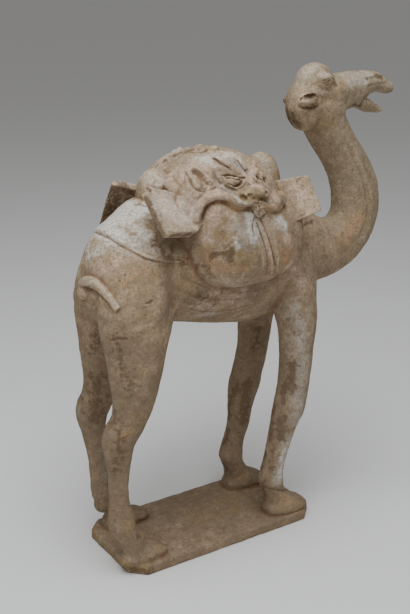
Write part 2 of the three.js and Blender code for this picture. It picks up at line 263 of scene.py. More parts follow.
# The right side of the monster's face and the camel's own, where the clay is worked finest
FINE_WORK = [{"at": (12, -78, 464), "half": (58, 40, 34)}, {"at": (216, -30, 558), "half": (90, 40, 44)}]
# The camel's lips keep this much of their edges when the body is smoothed
LIPS = {"at": (282, 0, 548), "half": (42, 30, 34)}
LIPS_KEPT = 0.85
# Where the monster's face is worked soft before its marks
MASK = {"at": (20, -76, 458), "half": (64, 46, 46)}
# Where forms run into one another: the mask into the hind hump and the strap, and the hind feet into the slab
BLENDS = [
    {"at": (-48, -40, 456), "half": (26, 30, 28)},
    {"at": (-56, -66, 444), "half": (20, 20, 24)},
    {"at": (-122, -44, 15), "half": (50, 30, 11)},
]
# Curls laid by turns on the right and the left of the crest, from the hind end (x, z) to the fore end, and the path
# of each from its place there
MANE = {"curls": 9, "from": (-52, 476), "to": (8, 502), "apart": 11}
CURL = {"path": [(-6, 0, -2), (-1, -4, 0), (4, -1, 1), (1, 3, 1), (-2, 1, 0)], "radii": [1.5, 3.4, 3.4, 2, 1]}
# How far into the finely worked spaces the rest of the skin reaches when it is thinned out
OVERLAP = 0.15
# The fired skin's unevenness: (size, depth) of its broad and of its small dents
DENTS = [(22, 1.6), (6, 0.8)]
# Earth and painted shade darken the cuts up to the widest half width and fill them from the full depth on. They reach
# as far as the spread and a share of the half width.
GRIME_AND_SHADE = {"widest": 2.3, "full depth": 1.2, "spread": 0.5, "share": 0.55}
# How far the umber that darkens the legs and the clay towards the bottom (by height) and the neck's dun (by place
# along the camel and by height) reach
UMBER_HEIGHTS = [10, 30, 200, 280, 340, 360]
UMBER_AMOUNTS = [0.55, 0.7, 0.7, 0.5, 0.3, 0.15]
DUN_ALONG, DUN_HEIGHTS, DUN_MOST = [140, 210], [330, 390], 0.8
# How often the skin is evened to find its cuts and its broad hollows
EVENINGS = {"hollow": 10, "valley": 60}
# The strength at which a patch, stain or painted shade, covers half the clay
PATCH_EDGE = 0.45

# Where the camel is looked at from: the eye's place, its turn from +X and its dip in degrees, and its picture in dots
VIEW = {"eye": (-642.3, -987.0, 696.9), "turn": 56.73, "dip": 18.41, "focal": 1000, "width": 410, "height": 614}

# Tool marks and laid-on ridges, as they are seen in the picture: (half width, height or minus depth, dots across and
# down the picture). The first are broad and are pressed before the fine ones. Those for both flanks come first.
BROAD_BOTH = [
    (3.4, 0.9, [(197, 219), (199.5, 212), (203, 205.5), (207.5, 200.8), (213, 197.5), (219, 196.3), (224.5, 197.5),
                (229.5, 200.3), (234, 203), (239, 204.4), (245, 204.4), (250, 203)]),  # lip
    (2.8, -2.8, [(202, 217), (203.5, 213), (205.5, 209), (209.5, 205.2), (214, 202.8), (219, 202), (224, 202.8),
                 (228.5, 205.4), (233, 208.6), (238, 210.6), (244, 210.6), (249.5, 209)]),  # under the lip
    (2.4, 1.0, [(196, 196), (203, 192.5), (210, 191), (217, 191), (224, 193.5), (230, 197)]),  # cheek
    (2.6, -3.6, [(214, 171), (215, 176), (217.5, 180.5), (221, 184)]),
    (1.8, -1.6, [(226.5, 186.5), (232, 189), (237, 190)]),
    (3.2, 1.2, [(218, 167), (224, 170.5), (229, 171), (235, 172), (241, 173.5), (245, 175.5)]),  # brow
    (2.6, 1.0, [(229, 180), (234, 181.5), (237, 181.8)]),  # eye
    (1.8, 1.5, [(256, 219), (260, 227), (263, 234), (267, 242), (269.5, 250), (271, 258), (272, 266), (271.5, 272)]),
    (1.7, 1.1, [(252.5, 222), (254.5, 232), (258, 242), (261, 252), (263, 262), (263, 270)]),
    (1.7, 1.1, [(267, 218), (271.5, 227), (274.5, 236), (277, 250), (278, 262), (277, 270)]),
    (4.0, -1.4, [(200, 252), (202, 262), (206, 270), (211, 276.5), (216, 282), (222, 287), (230, 290), (240, 289.5),
                 (250, 288.5), (258, 286), (266, 284), (272, 281), (278, 278)]),  # pouch edge
    (4.5, 0.8, [(207, 262), (212, 271), (218, 277), (225, 282), (233, 284), (243, 283.5), (253, 282), (262, 279),
                (270, 275)]),
    (1.5, -1.8, [(98, 232.5), (104, 236), (110, 238.5), (114, 242), (122, 246.5), (130, 250.5), (144, 258),
                 (155, 261.5), (164, 263)]),  # below the blanket
    (2.4, 0.7, [(100, 229.5), (106, 233), (112, 236), (118, 240), (126, 244.5), (135, 249.5), (147, 255.5),
                (157, 258)]),
    (8.0, -2.6, [(170, 266), (174, 277), (175, 290), (174, 303), (171, 315)]),  # in front of the haunch
    (9.0, 1.6, [(156, 268), (160, 280), (160, 295), (157, 310)]),
    (1.6, -0.7, [(176, 274), (190, 281), (206, 287)]),  # strokes of the hand along the belly
    (1.6, -0.7, [(178, 291), (197, 297), (218, 300), (240, 299)]),
    (1.6, -0.7, [(186, 308), (207, 312), (230, 310), (250, 305)]),
    (1.6, -0.6, [(176, 300), (190, 304), (202, 304)]),
    (1.5, -0.6, [(232, 292), (250, 292), (266, 288)]),
    (5.0, -0.8, [(100, 322), (112, 328), (124, 330), (136, 327)]),
    (6.0, 0.8, [(100, 312), (112, 319), (125, 321), (140, 315)]),
    (6.0, -1.4, [(277, 276), (280, 286), (279, 298), (274, 308)]),  # behind the shoulder
    (2.0, -1.2, [(263, 486), (272, 489.5), (284, 490.5), (295, 488), (302, 486)]),  # fold above the foot
    (3.0, -0.8, [(104, 528), (114, 533), (126, 536), (134, 533)]),
]
BROAD_RIGHT = [
    (1.5, -0.7, [(90, 290), (96, 291), (101, 295), (106, 301)]),  # below the tail
    (1.6, 1.4, [(186.5, 172), (189.5, 169), (194, 167.5), (199.5, 168.8), (203.5, 172.5), (206, 177)]),  # mask's ear
    (3.8, -4.2, [(194, 172), (198, 173.5), (201.5, 177)]),
    (3.0, -2.4, [(204, 180), (207, 184)]),
    (1.9, 1.4, [(190, 173), (193, 178.5), (196.5, 184), (199.5, 187.5)]),
    (1.6, -1.8, [(185.5, 173.5), (187.8, 178), (190.8, 183), (194.5, 187.5), (199, 190.8), (204, 191.5)]),
    (1.6, -1.6, [(151, 186), (158, 188.5), (168, 190.5), (178, 191.5)]),  # over the board
    (1.2, 0.8, [(152, 189), (160, 191), (170, 193), (180, 194)]),
    (2.0, -1.4, [(134, 203.5), (140, 204.5), (146, 206)]),
    (3.4, 1.8, [(254, 194), (263, 194)]),  # nose
    (5.5, 1.6, [(268, 186), (273, 194), (275, 201)]),  # cheek in front
    (2.6, -1.2, [(266, 209), (271, 210.8), (276, 211.5), (280.5, 209)]),
    (3.0, -0.8, [(263, 162), (268, 172), (273, 182), (279, 192), (283, 199)]),
    (2.4, -3.2, [(242.5, 196.8), (245.5, 198.3)]),  # nostrils
    (2.5, -3.8, [(250.3, 195.3)]),
    (2.0, -2.8, [(266.3, 192.5)]),
    (2.2, -2.2, [(257.5, 177.5)]),  # eye in front
    (1.3, 1.3, [(259.5, 177), (262, 179.5), (261, 182)]),
    (2.2, -1.8, [(147, 189), (149.5, 191)]),  # chips in the boards
    (1.5, -1.2, [(176, 193), (181, 194.5)]),
    (1.6, -1.2, [(314, 174.5), (313, 179)]),
    (1.8, -1.4, [(322.5, 203), (321, 207)]),
    (1.6, -1.0, [(300, 217), (306, 214)]),
    (3.6, -1.6, [(284, 203), (287, 210), (290, 216), (293, 224), (296, 233), (299, 240)]),
    (4.0, 1.6, [(321, 77), (327, 76.5)]),  # the camel's brow and eye
    (1.8, -2.2, [(333.5, 77), (335.5, 81), (336.5, 86)]),
    (2.4, -1.6, [(316, 84), (321, 88.5), (329, 91)]),
    (3.4, 1.0, [(340, 88), (348, 90)]),
    (1.6, 1.2, [(299, 96.5), (303, 92.6), (308, 90.5), (314, 90.2), (319, 92.5), (322, 95.5)]),  # rim of the ear
    (1.6, -2.0, [(300, 100), (303.5, 96.6), (308.5, 95), (314, 95.2), (319, 97.2)]),
    (1.6, 1.2, [(302, 101.5), (309, 102.8), (316, 102)]),
    (2.0, -1.2, [(298, 105.5), (304, 108), (311, 108), (318, 106)]),
    (2.2, -1.4, [(353, 105), (359, 106), (364, 100), (367, 96)]),  # hinge of the jaw
    (2.0, 1.2, [(374, 73.5), (380, 75.5)]),  # rim of the nostril
    (1.6, 0.6, [(363, 85.5), (370, 82.5), (378, 81), (386, 81)]),
    (2.4, 0.8, [(352, 145), (358, 158), (364, 172), (369, 188), (372, 204), (370, 222), (364, 240)]),  # throat
    (1.8, -0.6, [(348, 145), (354, 160), (360, 174), (365, 190), (367, 206), (365, 222), (359, 238)]),
    (1.6, 1.4, [(172, 152), (176, 149.5), (180, 149.5), (182, 152), (179, 154)]),  # curls of the mane
    (1.6, 1.4, [(187, 149), (191, 147.5), (195, 148), (196, 150.5), (193, 152)]),
    (1.6, 1.2, [(161, 163), (164, 160), (168, 159.5), (170, 162)]),
    (1.4, -1.2, [(170, 156), (178, 156), (186, 153), (198, 152.5), (206, 151)]),
]
FINE_BOTH = [
    (1.1, -2.4, [(223.5, 176), (229, 175), (235, 176.5), (240, 178), (244.5, 177.8)]),  # upper lid
    (1.0, 1.8, [(222.8, 177.5), (226, 182.3), (230.5, 186), (235, 188.2), (239, 188), (242.5, 185), (245, 180)]),
    (0.9, -2.2, [(225, 178), (227.5, 182), (231.5, 185), (236, 186.3), (239.5, 184.5), (242, 180.5)]),
    (1.0, -1.6, [(226, 177.8), (230, 178.2), (235, 179.2), (240, 180)]),
    (1.1, 1.3, [(217.5, 181.5), (221.5, 186.5), (227, 190.5), (232, 193), (235.5, 197), (240, 201), (245.5, 203.8),
                (251, 204.3)]),  # lip's rim
    (1.2, 1.0, [(227, 205.5), (223.5, 207.5), (220.5, 211)]),  # tusk
    (1.1, 1.1, [(252.5, 208.5), (255.5, 206), (258, 208), (257, 212.5)]),  # knot
    (1.1, 1.1, [(261, 207.5), (264.5, 207), (266, 210.5), (263.5, 214)]),
    (0.9, -1.4, [(259.2, 206), (259.6, 211), (259.8, 216)]),
    (0.9, -1.2, [(251.5, 211), (254, 215), (257, 217.5)]),
    (0.9, -1.0, [(263, 217), (266, 213.5)]),
    (0.9, -1.0, [(261, 219), (266, 230), (270, 242), (273, 254), (275.5, 266)]),
    (0.9, -1.0, [(256, 219), (259, 229), (263, 240), (266, 251), (267.5, 264), (267, 272)]),
    (1.0, -1.0, [(251, 209), (253, 213), (255.5, 217), (252, 224), (254, 236)]),
    (1.1, -0.8, [(225, 248.5), (230, 245), (235, 240.5)]),
    (2.2, -0.8, [(210, 256), (218, 254.5), (225, 254), (232, 250), (231, 258)]),
    (1.0, -0.8, [(213, 258.5), (216, 256), (221, 256)]),
    (1.0, -0.8, [(230, 247), (233, 252), (231, 260)]),
]
FINE_RIGHT = [
    (0.9, -1.8, [(213, 158.5), (217, 160.5), (221, 164), (226, 166.5), (229, 168.5), (232, 171)]),
    (0.8, -1.4, [(237, 160), (241, 166.5), (243, 169), (246, 172), (247, 173.5)]),
    (1.0, -0.6, [(229, 159), (234, 162), (238, 166)]),
    (1.0, -0.8, [(219, 169.5), (220.5, 170.5)]),
    (0.9, -1.2, [(241, 196), (244, 199.5)]),
    (1.1, 1.0, [(244.5, 193.5), (247, 197), (249.5, 199.5)]),
    (1.0, -1.2, [(259, 200), (259, 203.5)]),
    (0.9, -1.0, [(255, 203), (262, 204)]),
    (1.0, 0.9, [(250, 183), (253, 187), (256, 190)]),
    (0.9, -1.0, [(254, 179), (256, 181.5), (259, 183)]),
    (1.0, -1.4, [(263.5, 178), (265, 181.5)]),
    (0.9, -1.0, [(209, 182), (208.5, 187), (205.5, 190)]),
    (0.9, -0.9, [(212.5, 184), (210.5, 188)]),
    (0.9, -0.9, [(216, 187.5), (211.5, 189.5)]),
    (1.0, -1.1, [(333, 78), (335.5, 82), (337, 86)]),  # the camel's eye and its pitted lids
    (1.0, -1.4, [(330, 80)]),
    (1.1, -1.5, [(333, 83.5)]),
    (1.1, -1.5, [(328, 85)]),
    (1.0, -1.3, [(324.5, 83.5)]),
    (1.0, -1.2, [(330.5, 88)]),
    (1.0, -1.0, [(324, 80)]),
    (1.2, -1.2, [(377.5, 75), (380, 77), (382, 79.5)]),  # nostril
    (0.9, -0.5, [(368, 87), (373, 85), (379, 83.8), (385, 83.4)]),  # flap of the lip
    (1.0, 0.8, [(366, 97), (370, 99.8), (374, 102), (376, 103.5)]),
    (1.0, -0.9, [(147, 190), (149, 190.5), (151, 190)]),  # chips in the boards
    (1.0, -0.9, [(297, 181.5), (300, 178.5), (304, 176.5)]),
    (0.9, -0.8, [(314, 207.5), (315, 206)]),
    (0.9, -0.7, [(309, 199), (311, 200)]),
    (0.7, -0.4, [(152, 194), (163, 206), (172, 220)]),
    (0.7, -0.4, [(292, 181), (296, 196), (301, 212)]),
    (1.0, -0.9, [(111, 340), (118, 338.5), (127, 339)]),  # scars on the haunch
    (1.0, -0.8, [(146, 303.5), (152, 300.5)]),
    (1.4, 0.6, [(134, 331), (143, 329), (150, 325), (158, 323)]),
    (1.1, -0.8, [(125, 275)]),
    (1.0, -0.7, [(130, 273.5)]),
    (1.0, -0.7, [(120, 280.5)]),
    (1.0, -0.7, [(111, 264)]),
    (1.0, -0.7, [(134, 290)]),
    (1.0, -0.7, [(117, 221)]),
    (1.0, -0.6, [(127, 223)]),
    (0.8, -0.6, [(135, 235), (142, 238)]),
]

# Where the finish changes, on both flanks: (reach, strength, dots across and down the picture). A patch shows ragged
# from a strength of about a half, and whole from about one. Most are stains and slip; the painted highlights and
# painted shade among them are named where they stand.
SLIP = [
    (12, 1.0, [(112, 226), (129, 207)]), (11, 1.0, [(105, 231), (118, 236)]), (11, 1.0, [(126, 220), (142, 209)]),
    (8, 0.5, [(122, 238), (136, 244)]), (9, 0.7, [(136, 228), (146, 236)]), (5, 0.9, [(279, 219), (284, 224)]),
    (7, 1.0, [(249, 217), (254, 236)]), (5, 0.6, [(236, 241), (238, 248)]), (12, 0.5, [(206, 158), (232, 154)]),
    (7, 0.5, [(284, 448), (279, 476)]), (10, 0.5, [(90, 256), (104, 246)]),
    # Painted highlights: a pale line along the lit rim of the mask's lip, and along the lit top edge of the far hind
    # board
    (1.6, 0.7, [(235, 197), (240, 201), (246, 203.8)]), (1.6, 0.7, [(113, 180), (124, 182), (135, 184.5)]),
]
VEIL = [
    # Painted highlight along the lit ridge of the mask's strap below its eye
    (2.4, 1.0, [(218, 182), (226, 190), (233, 194), (240, 201)]),
    # Painted highlight along the near hind board's lit edge, before the patch on its face
    (1.6, 0.9, [(152, 197), (161, 214), (169.5, 231), (182, 231)]), (16, 1.0, [(164, 204), (182, 214)]),
    # Among these, a painted highlight on the near hind board's curled corner
    (8, 0.8, [(348, 82), (364, 80)]), (2, 0.9, [(147, 190), (151, 187.5)]), (8, 0.9, [(276, 222), (284, 228)]),
    (7, 0.9, [(152, 178), (160, 182)]), (12, 0.7, [(258, 222), (256, 240)]), (7, 0.6, [(344, 75), (372, 74)]),
    # The first is a painted highlight on top of the camel's brow
    (6, 0.7, [(330, 75), (322, 74)]), (11, 0.65, [(304, 76), (312, 67)]), (15, 0.65, [(300, 322), (300, 350)]),
    (13, 0.75, [(304, 362), (300, 392), (296, 420)]), (11, 1.0, [(290, 440), (280, 478)]),
    (12, 0.6, [(293, 320), (296, 306)]), (7, 0.7, [(196, 316), (214, 313)]), (12, 0.4, [(222, 282), (244, 286)]),
    (10, 0.8, [(238, 226), (248, 238)]), (12, 0.7, [(150, 176), (160, 184)]), (14, 0.9, [(112, 240), (150, 252)]),
    (18, 0.4, [(190, 158), (230, 158)]), (4, 0.55, [(82, 284), (92, 281), (103, 287)]),
    (3, 0.7, [(108, 293), (118, 306)]), (12, 0.6, [(262, 160), (268, 172)]),
]
OCHRE = [
    (12, 0.75, [(108, 240), (132, 250), (152, 257)]), (9, 0.9, [(246, 250), (248, 266)]),
    (12, 0.8, [(222, 218), (226, 234)]), (22, 0.5, [(112, 282), (140, 285)]), (14, 0.5, [(90, 262), (84, 275)]),
    (20, 0.5, [(184, 270), (190, 288)]), (13, 0.75, [(216, 226), (222, 232)]), (12, 0.6, [(225, 268), (248, 262)]),
    (8, 0.7, [(274, 170), (276, 180)]), (12, 0.6, [(283, 250), (282, 268)]), (12, 0.5, [(135, 420), (120, 442)]),
    (12, 0.6, [(205, 246), (212, 262)]), (10, 0.6, [(236, 256), (252, 250)]), (16, 0.4, [(215, 298), (240, 304)]),
    (26, 0.35, [(130, 300), (150, 330)]), (16, 0.6, [(284, 500), (296, 506)]), (10, 0.5, [(352, 76), (330, 100)]),
    (16, 0.5, [(365, 220), (368, 190)]), (12, 0.5, [(240, 478), (244, 470)]),
    # Painted warm shade in the groove under the mask's lip and in the crease under its front cheek
    (4, 0.9, [(203, 212), (208, 206), (216, 202.5), (226, 204), (234, 209)]), (4, 0.8, [(268, 208), (278, 210)]),
    # The first is painted shade on the shaded side of the mask's ear
    (2.6, 0.7, [(203, 181), (205, 185)]), (10, 0.6, [(130, 526), (160, 548)]),
]
EMBER = [
    (14, 0.7, [(344, 240), (356, 220)]), (12, 0.6, [(210, 262), (222, 270)]), (12, 1.0, [(286, 240), (290, 258)]),
    (7, 0.9, [(268, 240), (272, 262)]), (9, 0.85, [(208, 214), (204, 232)]), (5, 0.7, [(274, 196), (277, 204)]),
    (12, 0.6, [(112, 262), (140, 272)]),
    # Painted warm shade in the groove under the mask's lip
    (3.4, 0.9, [(202, 216), (205, 209), (212, 203), (219, 202), (226, 204), (233, 208.5), (240, 210)]),
    # The first is painted warm shade in the crease under the front cheek
    (3.6, 0.9, [(265, 207), (272, 209.5), (279, 209)]), (4, 0.6, [(260, 199), (246, 199)]),
    # The first is painted shade on the shaded side of the mask's ear
    (3, 0.6, [(204, 181), (206, 186)]), (8, 0.45, [(184, 258), (190, 270)]), (5, 0.5, [(77, 290), (80, 300)]),
    (9, 0.5, [(140, 268), (156, 276)]), (7, 0.5, [(250, 268), (240, 262)]), (5, 0.6, [(280, 196), (278, 184)]),
    (8, 0.4, [(292, 486), (300, 492)]),
]
# Painted shade: umber laid where the figure lies in shade, under the boards, the jaw, the lip flap and the ears, in
# the hollow of the mask's ear and the recess beside its eye, on the belly, the chest, in front of the haunch and down
# the legs
PAINTED_SHADE = [
    (9, 1.2, [(168, 241), (188, 241)]), (5, 1.0, [(370, 89), (386, 88)]), (6, 0.9, [(366, 104), (376, 108)]),
    (10, 0.6, [(305, 106), (316, 106)]), (26, 0.8, [(186, 288), (215, 305), (250, 300)]),
    (20, 0.75, [(292, 292), (300, 272)]), (24, 0.75, [(124, 350), (130, 396)]), (18, 1.3, [(122, 430), (118, 474)]),
    (9, 0.9, [(168, 268), (170, 292), (166, 318)]), (20, 0.85, [(344, 240), (362, 214)]),
    (7, 0.9, [(190, 212), (200, 199), (212, 193)]), (12, 0.4, [(300, 192), (306, 208)]),
    (9, 0.6, [(205, 240), (210, 262)]),
    (3.2, 1.3, [(214.5, 172), (216, 177), (220, 183), (227, 188.5), (233, 190.5)]),
    (5, 1.3, [(194, 173), (199, 176), (204, 182), (208, 186)]), (4, 1.2, [(203, 182), (204, 188)]),
    (12, 0.6, [(156, 250), (164, 262)]), (12, 0.5, [(284, 216), (290, 236)]), (14, 0.6, [(250, 340), (244, 420)]),
    (6, 0.6, [(298, 126), (290, 112)]), (10, 0.5, [(320, 112), (340, 116)]),
]
BLUSH = [
    (14, 0.9, [(212, 216), (230, 224)]), (14, 0.8, [(262, 186), (240, 168)]), (16, 1.0, [(160, 200), (184, 216)]),
    (14, 1.0, [(298, 190), (310, 206)]), (16, 0.8, [(180, 175), (200, 160)]), (16, 0.7, [(225, 155), (236, 165)]),
    (8, 1.0, [(276, 200)]), (10, 1.0, [(188, 202), (204, 198), (220, 195)]), (14, 0.6, [(262, 226), (270, 260)]),
    (16, 0.55, [(300, 280), (292, 262)]), (20, 0.5, [(240, 300), (200, 305)]), (4, 0.9, [(195, 227)]),
    (9, 0.9, [(210, 185), (222, 195)]), (14, 0.7, [(205, 165), (226, 155)]), (10, 0.6, [(286, 236), (290, 246)]),
    (10, 0.5, [(300, 492), (290, 488)]), (13, 0.8, [(150, 176), (162, 184)]), (10, 0.6, [(206, 224), (204, 240)]),
    (20, 0.5, [(120, 262), (100, 268)]), (5, 0.6, [(78, 286), (90, 283)]), (12, 0.4, [(384, 88), (370, 100)]),
]
# Dark earth and painted shade. Earth lies in the scars and pits, the pouch's chip, the stain behind the head and on
# the legs. Painted shade darkens the hollows of the ears, the nostrils, the cuts round the eyes, the jaw's shaded
# side and the near hind board's shaded end, and lies as painted shadow under the boards.
SOIL_AND_SHADE = [
    (1.5, 1.2, [(112, 340), (119, 338.5), (126, 339)]), (1.3, 1.2, [(146, 303.5), (152, 300.5)]),
    (1.5, 1.2, [(125, 275)]), (1.2, 1.2, [(130, 273.5)]), (1.2, 1.2, [(120, 280.5)]), (1.2, 1.2, [(111, 264)]),
    (1.3, 1.2, [(134, 290)]), (9, 0.52, [(121, 432), (117, 470)]), (5, 0.8, [(274, 404), (270, 440)]),
    (3, 0.9, [(266, 452), (262, 470)]), (2, 0.9, [(283, 416), (288, 418)]),
    # Painted shade in the hollow of the mask's ear and on its shaded side
    (3.0, 1.0, [(194, 171), (198, 172.5), (201.5, 176)]), (1.8, 0.8, [(204, 179.5), (207, 184)]),
    (5, 0.8, [(118, 566), (150, 573)]), (1.3, 0.8, [(214.8, 174), (216.5, 178), (220, 183)]),
    # Painted shade beside the mask's eye and in the cuts of its lids
    (1.3, 1.1, [(227, 178), (234, 179), (240, 180.3)]),
    (1.3, 1.0, [(228, 183), (231, 185), (236, 186.6), (240, 184.6)]),
    # Painted shade in the camel's ear, and painted shadow under it
    (1.6, 1.1, [(300.5, 99.5), (304, 96.6), (309, 95), (315, 95.6)]), (2.4, 0.8, [(303, 108), (316, 107)]),
    (1.1, 1.2, [(329, 80.5)]), (1.2, 1.2, [(332.5, 83)]), (1.1, 1.2, [(326, 85)]), (1.1, 1.2, [(330, 87)]),
    (1.0, 1.1, [(323, 82)]), (1.1, 1.1, [(327, 89)]),
    # Painted shade on the near hind board's end, and painted shadow under its bottom edge
    (3.4, 1.2, [(146, 198.5), (150, 207), (154, 216), (158.5, 225), (163, 234)]), (3, 0.9, [(172, 236), (190, 234)]),
    (3.4, 1.2, [(211, 257), (217, 254)]), (3.6, 1.2, [(224, 253.5)]), (4.4, 1.2, [(232, 250), (230, 259)]),
    # The stain behind the head, then painted shade in the nostrils of the mask and of the camel
    (6, 0.8, [(290, 122), (287, 112)]), (2.6, 1.0, [(242, 197), (246, 198.5)]), (2.8, 1.0, [(250, 195.8)]),
    (2.4, 1.0, [(266.3, 192.5)]), (2, 0.7, [(366, 79), (374, 77), (382, 79)]), (2.2, 0.9, [(376, 75), (381, 79)]),
    # Among these, painted shadow under the fore board and painted shade in the crease in front of the camel's eye
    (3, 0.6, [(77, 289)]), (3, 0.8, [(302, 226), (312, 221)]), (1.8, 0.9, [(334, 79), (336, 86)]),
    (8, 0.85, [(292, 366), (291, 388)]), (7, 0.9, [(281, 420), (281, 438)]), (5, 0.8, [(284, 386), (282, 402)]),
    (6, 0.55, [(273, 448), (271, 468)]), (9, 0.8, [(247, 384), (243, 420)]), (9, 0.5, [(254, 348), (258, 330)]),
    (14, 0.6, [(96, 380), (98, 414)]), (10, 0.5, [(92, 350), (97, 326)]), (10, 0.42, [(114, 340), (130, 392)]),
    (9, 0.4, [(110, 400), (120, 430)]), (8, 0.42, [(300, 336), (290, 322)]), (6, 0.5, [(262, 478), (264, 494)]),
    # Among these, painted shade on the shaded side of the camel's jaw
    (8, 0.5, [(262, 466), (250, 440)]), (3, 0.7, [(354, 104), (360, 106)]), (9, 0.5, [(185, 262), (206, 268)]),
    (9, 0.45, [(196, 296), (216, 302)]), (8, 0.5, [(80, 398), (82, 408)]), (1.6, 0.9, [(117, 221)]),
    # Pits in the blanket, then painted shade beside the mask's eye
    (1.4, 1.2, [(112, 215)]), (1.6, 0.8, [(127, 223)]), (3, 0.6, [(238, 184), (242, 182)]),
    # Painted shade along the cuts of the mask's eyelids and round its eye in front
    (1.9, 1.0, [(222, 176), (229, 175.3), (238, 177), (244.5, 177.8)]), (1.4, 0.8, [(239, 184.5), (242.5, 181)]),
    (1.4, 1.0, [(256, 176.5), (258, 178.5)]), (1.4, 1.0, [(263.5, 179), (264.5, 182)]), (2, 0.6, [(259, 174)]),
    # Among these, painted shade in the camel's ear and painted shadow under the near hind board
    (6, 0.6, [(88, 500), (98, 508)]), (4, 0.5, [(308, 97), (316, 98)]), (12, 0.5, [(158, 244), (168, 252)]),
]
# Painted shade on the seen side alone: on the shaded inner face of the far hind board, and between the curls of the
# mane
SHADE_ON_SEEN_SIDE = [
    (22, 0.62, [(120, 188), (114, 208)]), (3, 1.3, [(157, 166)]), (2.6, 1.3, [(165, 160.5)]),
    (2.8, 1.3, [(174, 155), (180, 153)]), (2.6, 1.2, [(186, 151.5), (193, 150)]), (2.4, 1.2, [(199, 149.5)]),
    (2.4, 1.1, [(206, 149.5)]),
]
ASH = [
    # Grey bloom on the mask's brow; the patch beside its eye is painted grey shade in the recess there
    (6, 1.0, [(234, 162), (246, 171)]), (3, 0.7, [(216, 171), (218, 177)]), (4, 0.7, [(214, 160), (228, 168)]),
    (9, 0.4, [(300, 360), (306, 340)]), (6, 0.5, [(238, 242), (246, 248)]), (10, 0.5, [(102, 440), (106, 480)]),
]
OLIVE = [
    (5, 0.8, [(257, 242), (261, 262)]), (6, 0.8, [(100, 545), (118, 560), (132, 568), (148, 569)]),
    (4.4, 1.0, [(241, 197), (252, 197)]), (5, 1.0, [(258, 191), (263, 199)]), (9, 0.7, [(225, 222), (222, 232)]),
    (9, 0.7, [(240, 252), (246, 262)]), (20, 0.5, [(200, 520), (250, 505)]), (14, 0.6, [(330, 118), (318, 128)]),
    (8, 0.6, [(290, 118), (296, 128)]), (8, 0.5, [(362, 156), (370, 180)]),
]
COLOUR_PATCHES = {"slip": SLIP, "veil": VEIL, "ochre": OCHRE, "ember": EMBER, "blush": BLUSH, "ash": ASH, "olive": OLIVE}


# ---------------------------------------------------------------- modelling


def let_go():
    """Leaves edit mode and deselects everything."""
    if bpy.context.object and bpy.context.object.mode != "OBJECT":
        bpy.ops.object.mode_set(mode="OBJECT")
    bpy.ops.object.select_all(action="DESELECT")


def take(*pieces):
    """Selects these pieces alone, the first of them active."""
    let_go()
    for piece in pieces:
        piece.select_set(True)
    bpy.context.view_layer.objects.active = pieces[0]


def apply_modifier(piece, kind, **settings):
    """Adds a modifier, sets it and applies it."""
    take(piece)
    bpy.ops.object.modifier_add(type=kind)
    modifier = piece.modifiers[-1]
    for name, value in settings.items():
        setattr(modifier, name, value)
    bpy.ops.object.modifier_apply(modifier=modifier.name)


def joined(name, pieces):
    """Joins pieces into one with its own name."""
    take(*pieces)
    bpy.ops.object.join()
    whole = bpy.context.object
    whole.name = whole.data.name = name
    return whole


def threaded(rows, steps):
    """Rows of numbers with a smooth run of steps put between each two of them."""
    rows = np.array(rows, float)
    padded = np.vstack([2 * rows[0] - rows[1], rows, 2 * rows[-1] - rows[-2]])
    run = []
    for a, b, c, d in zip(padded, padded[1:], padded[2:], padded[3:]):
        for t in np.arange(steps) / steps:
            run.append(b + 0.5 * t * (c - a + t * (2 * a - 5 * b + 4 * c - d + t * (3 * (b - c) + d - a))))
    return np.array([*run, rows[-1]])


def new_shell(name):
    """An empty mesh piece at the origin, in edit mode."""
    let_go()
    bpy.ops.object.add(type="MESH", enter_editmode=True, location=(0, 0, 0))
    shell = bpy.context.object
    shell.name = shell.data.name = name
    return shell


def add_ring(shell, corners, place):
    """Adds a ring to a shell in edit mode, puts its corners in place and bridges it to the ring before."""
    bpy.ops.mesh.primitive_circle_add(vertices=corners, radius=MM, location=(0, 0, 0))
    mesh = bmesh.from_edit_mesh(shell.data)
    mesh.verts.ensure_lookup_table()
    ring = mesh.verts[-corners:]
    for vert in ring:
        vert.co = place(vert.co / MM) * MM
    if len(mesh.verts) > corners:
        for vert in mesh.verts[-2 * corners:]:
            vert.select_set(True)
        mesh.select_flush(True)
        bmesh.update_edit_mesh(shell.data)
        bpy.ops.mesh.bridge_edge_loops()
        bpy.ops.mesh.select_all(action="DESELECT")


def close_ends(shell, corners):
    """Closes the first and last ring of a shell and turns its faces outwards."""
    for ends in (slice(0, corners), slice(-corners, None)):
        bpy.ops.mesh.select_all(action="DESELECT")
        mesh = bmesh.from_edit_mesh(shell.data)
        mesh.verts.ensure_lookup_table()
        for vert in mesh.verts[ends]:
            vert.select_set(True)
        mesh.select_flush(True)
        bmesh.update_edit_mesh(shell.data)
        bpy.ops.mesh.edge_face_add()
    bpy.ops.mesh.select_all(action="SELECT")
    bpy.ops.mesh.normals_make_consistent(inside=False)
    bpy.ops.object.mode_set(mode="OBJECT")


def loft(name, stations, sides=24, steps=3):
    """A form threaded through its stations, smooth between them."""
    rows = threaded(stations, steps)
    headings = np.gradient(rows[:, :3], axis=0)
    shell = new_shell(name)
    for (x, y, z, half, above, below), (ahead, _, climb) in zip(rows, headings):
        over = Vector((-climb, 0, ahead)).normalized()

        def place(dot, centre=Vector((x, y, z)), half=half, depths=(above, below), over=over):
            return centre + Vector((0, half * dot.y, 0)) + over * dot.x * depths[dot.x < 0]

        add_ring(shell, sides, place)
    close_ends(shell, sides)
    return shell


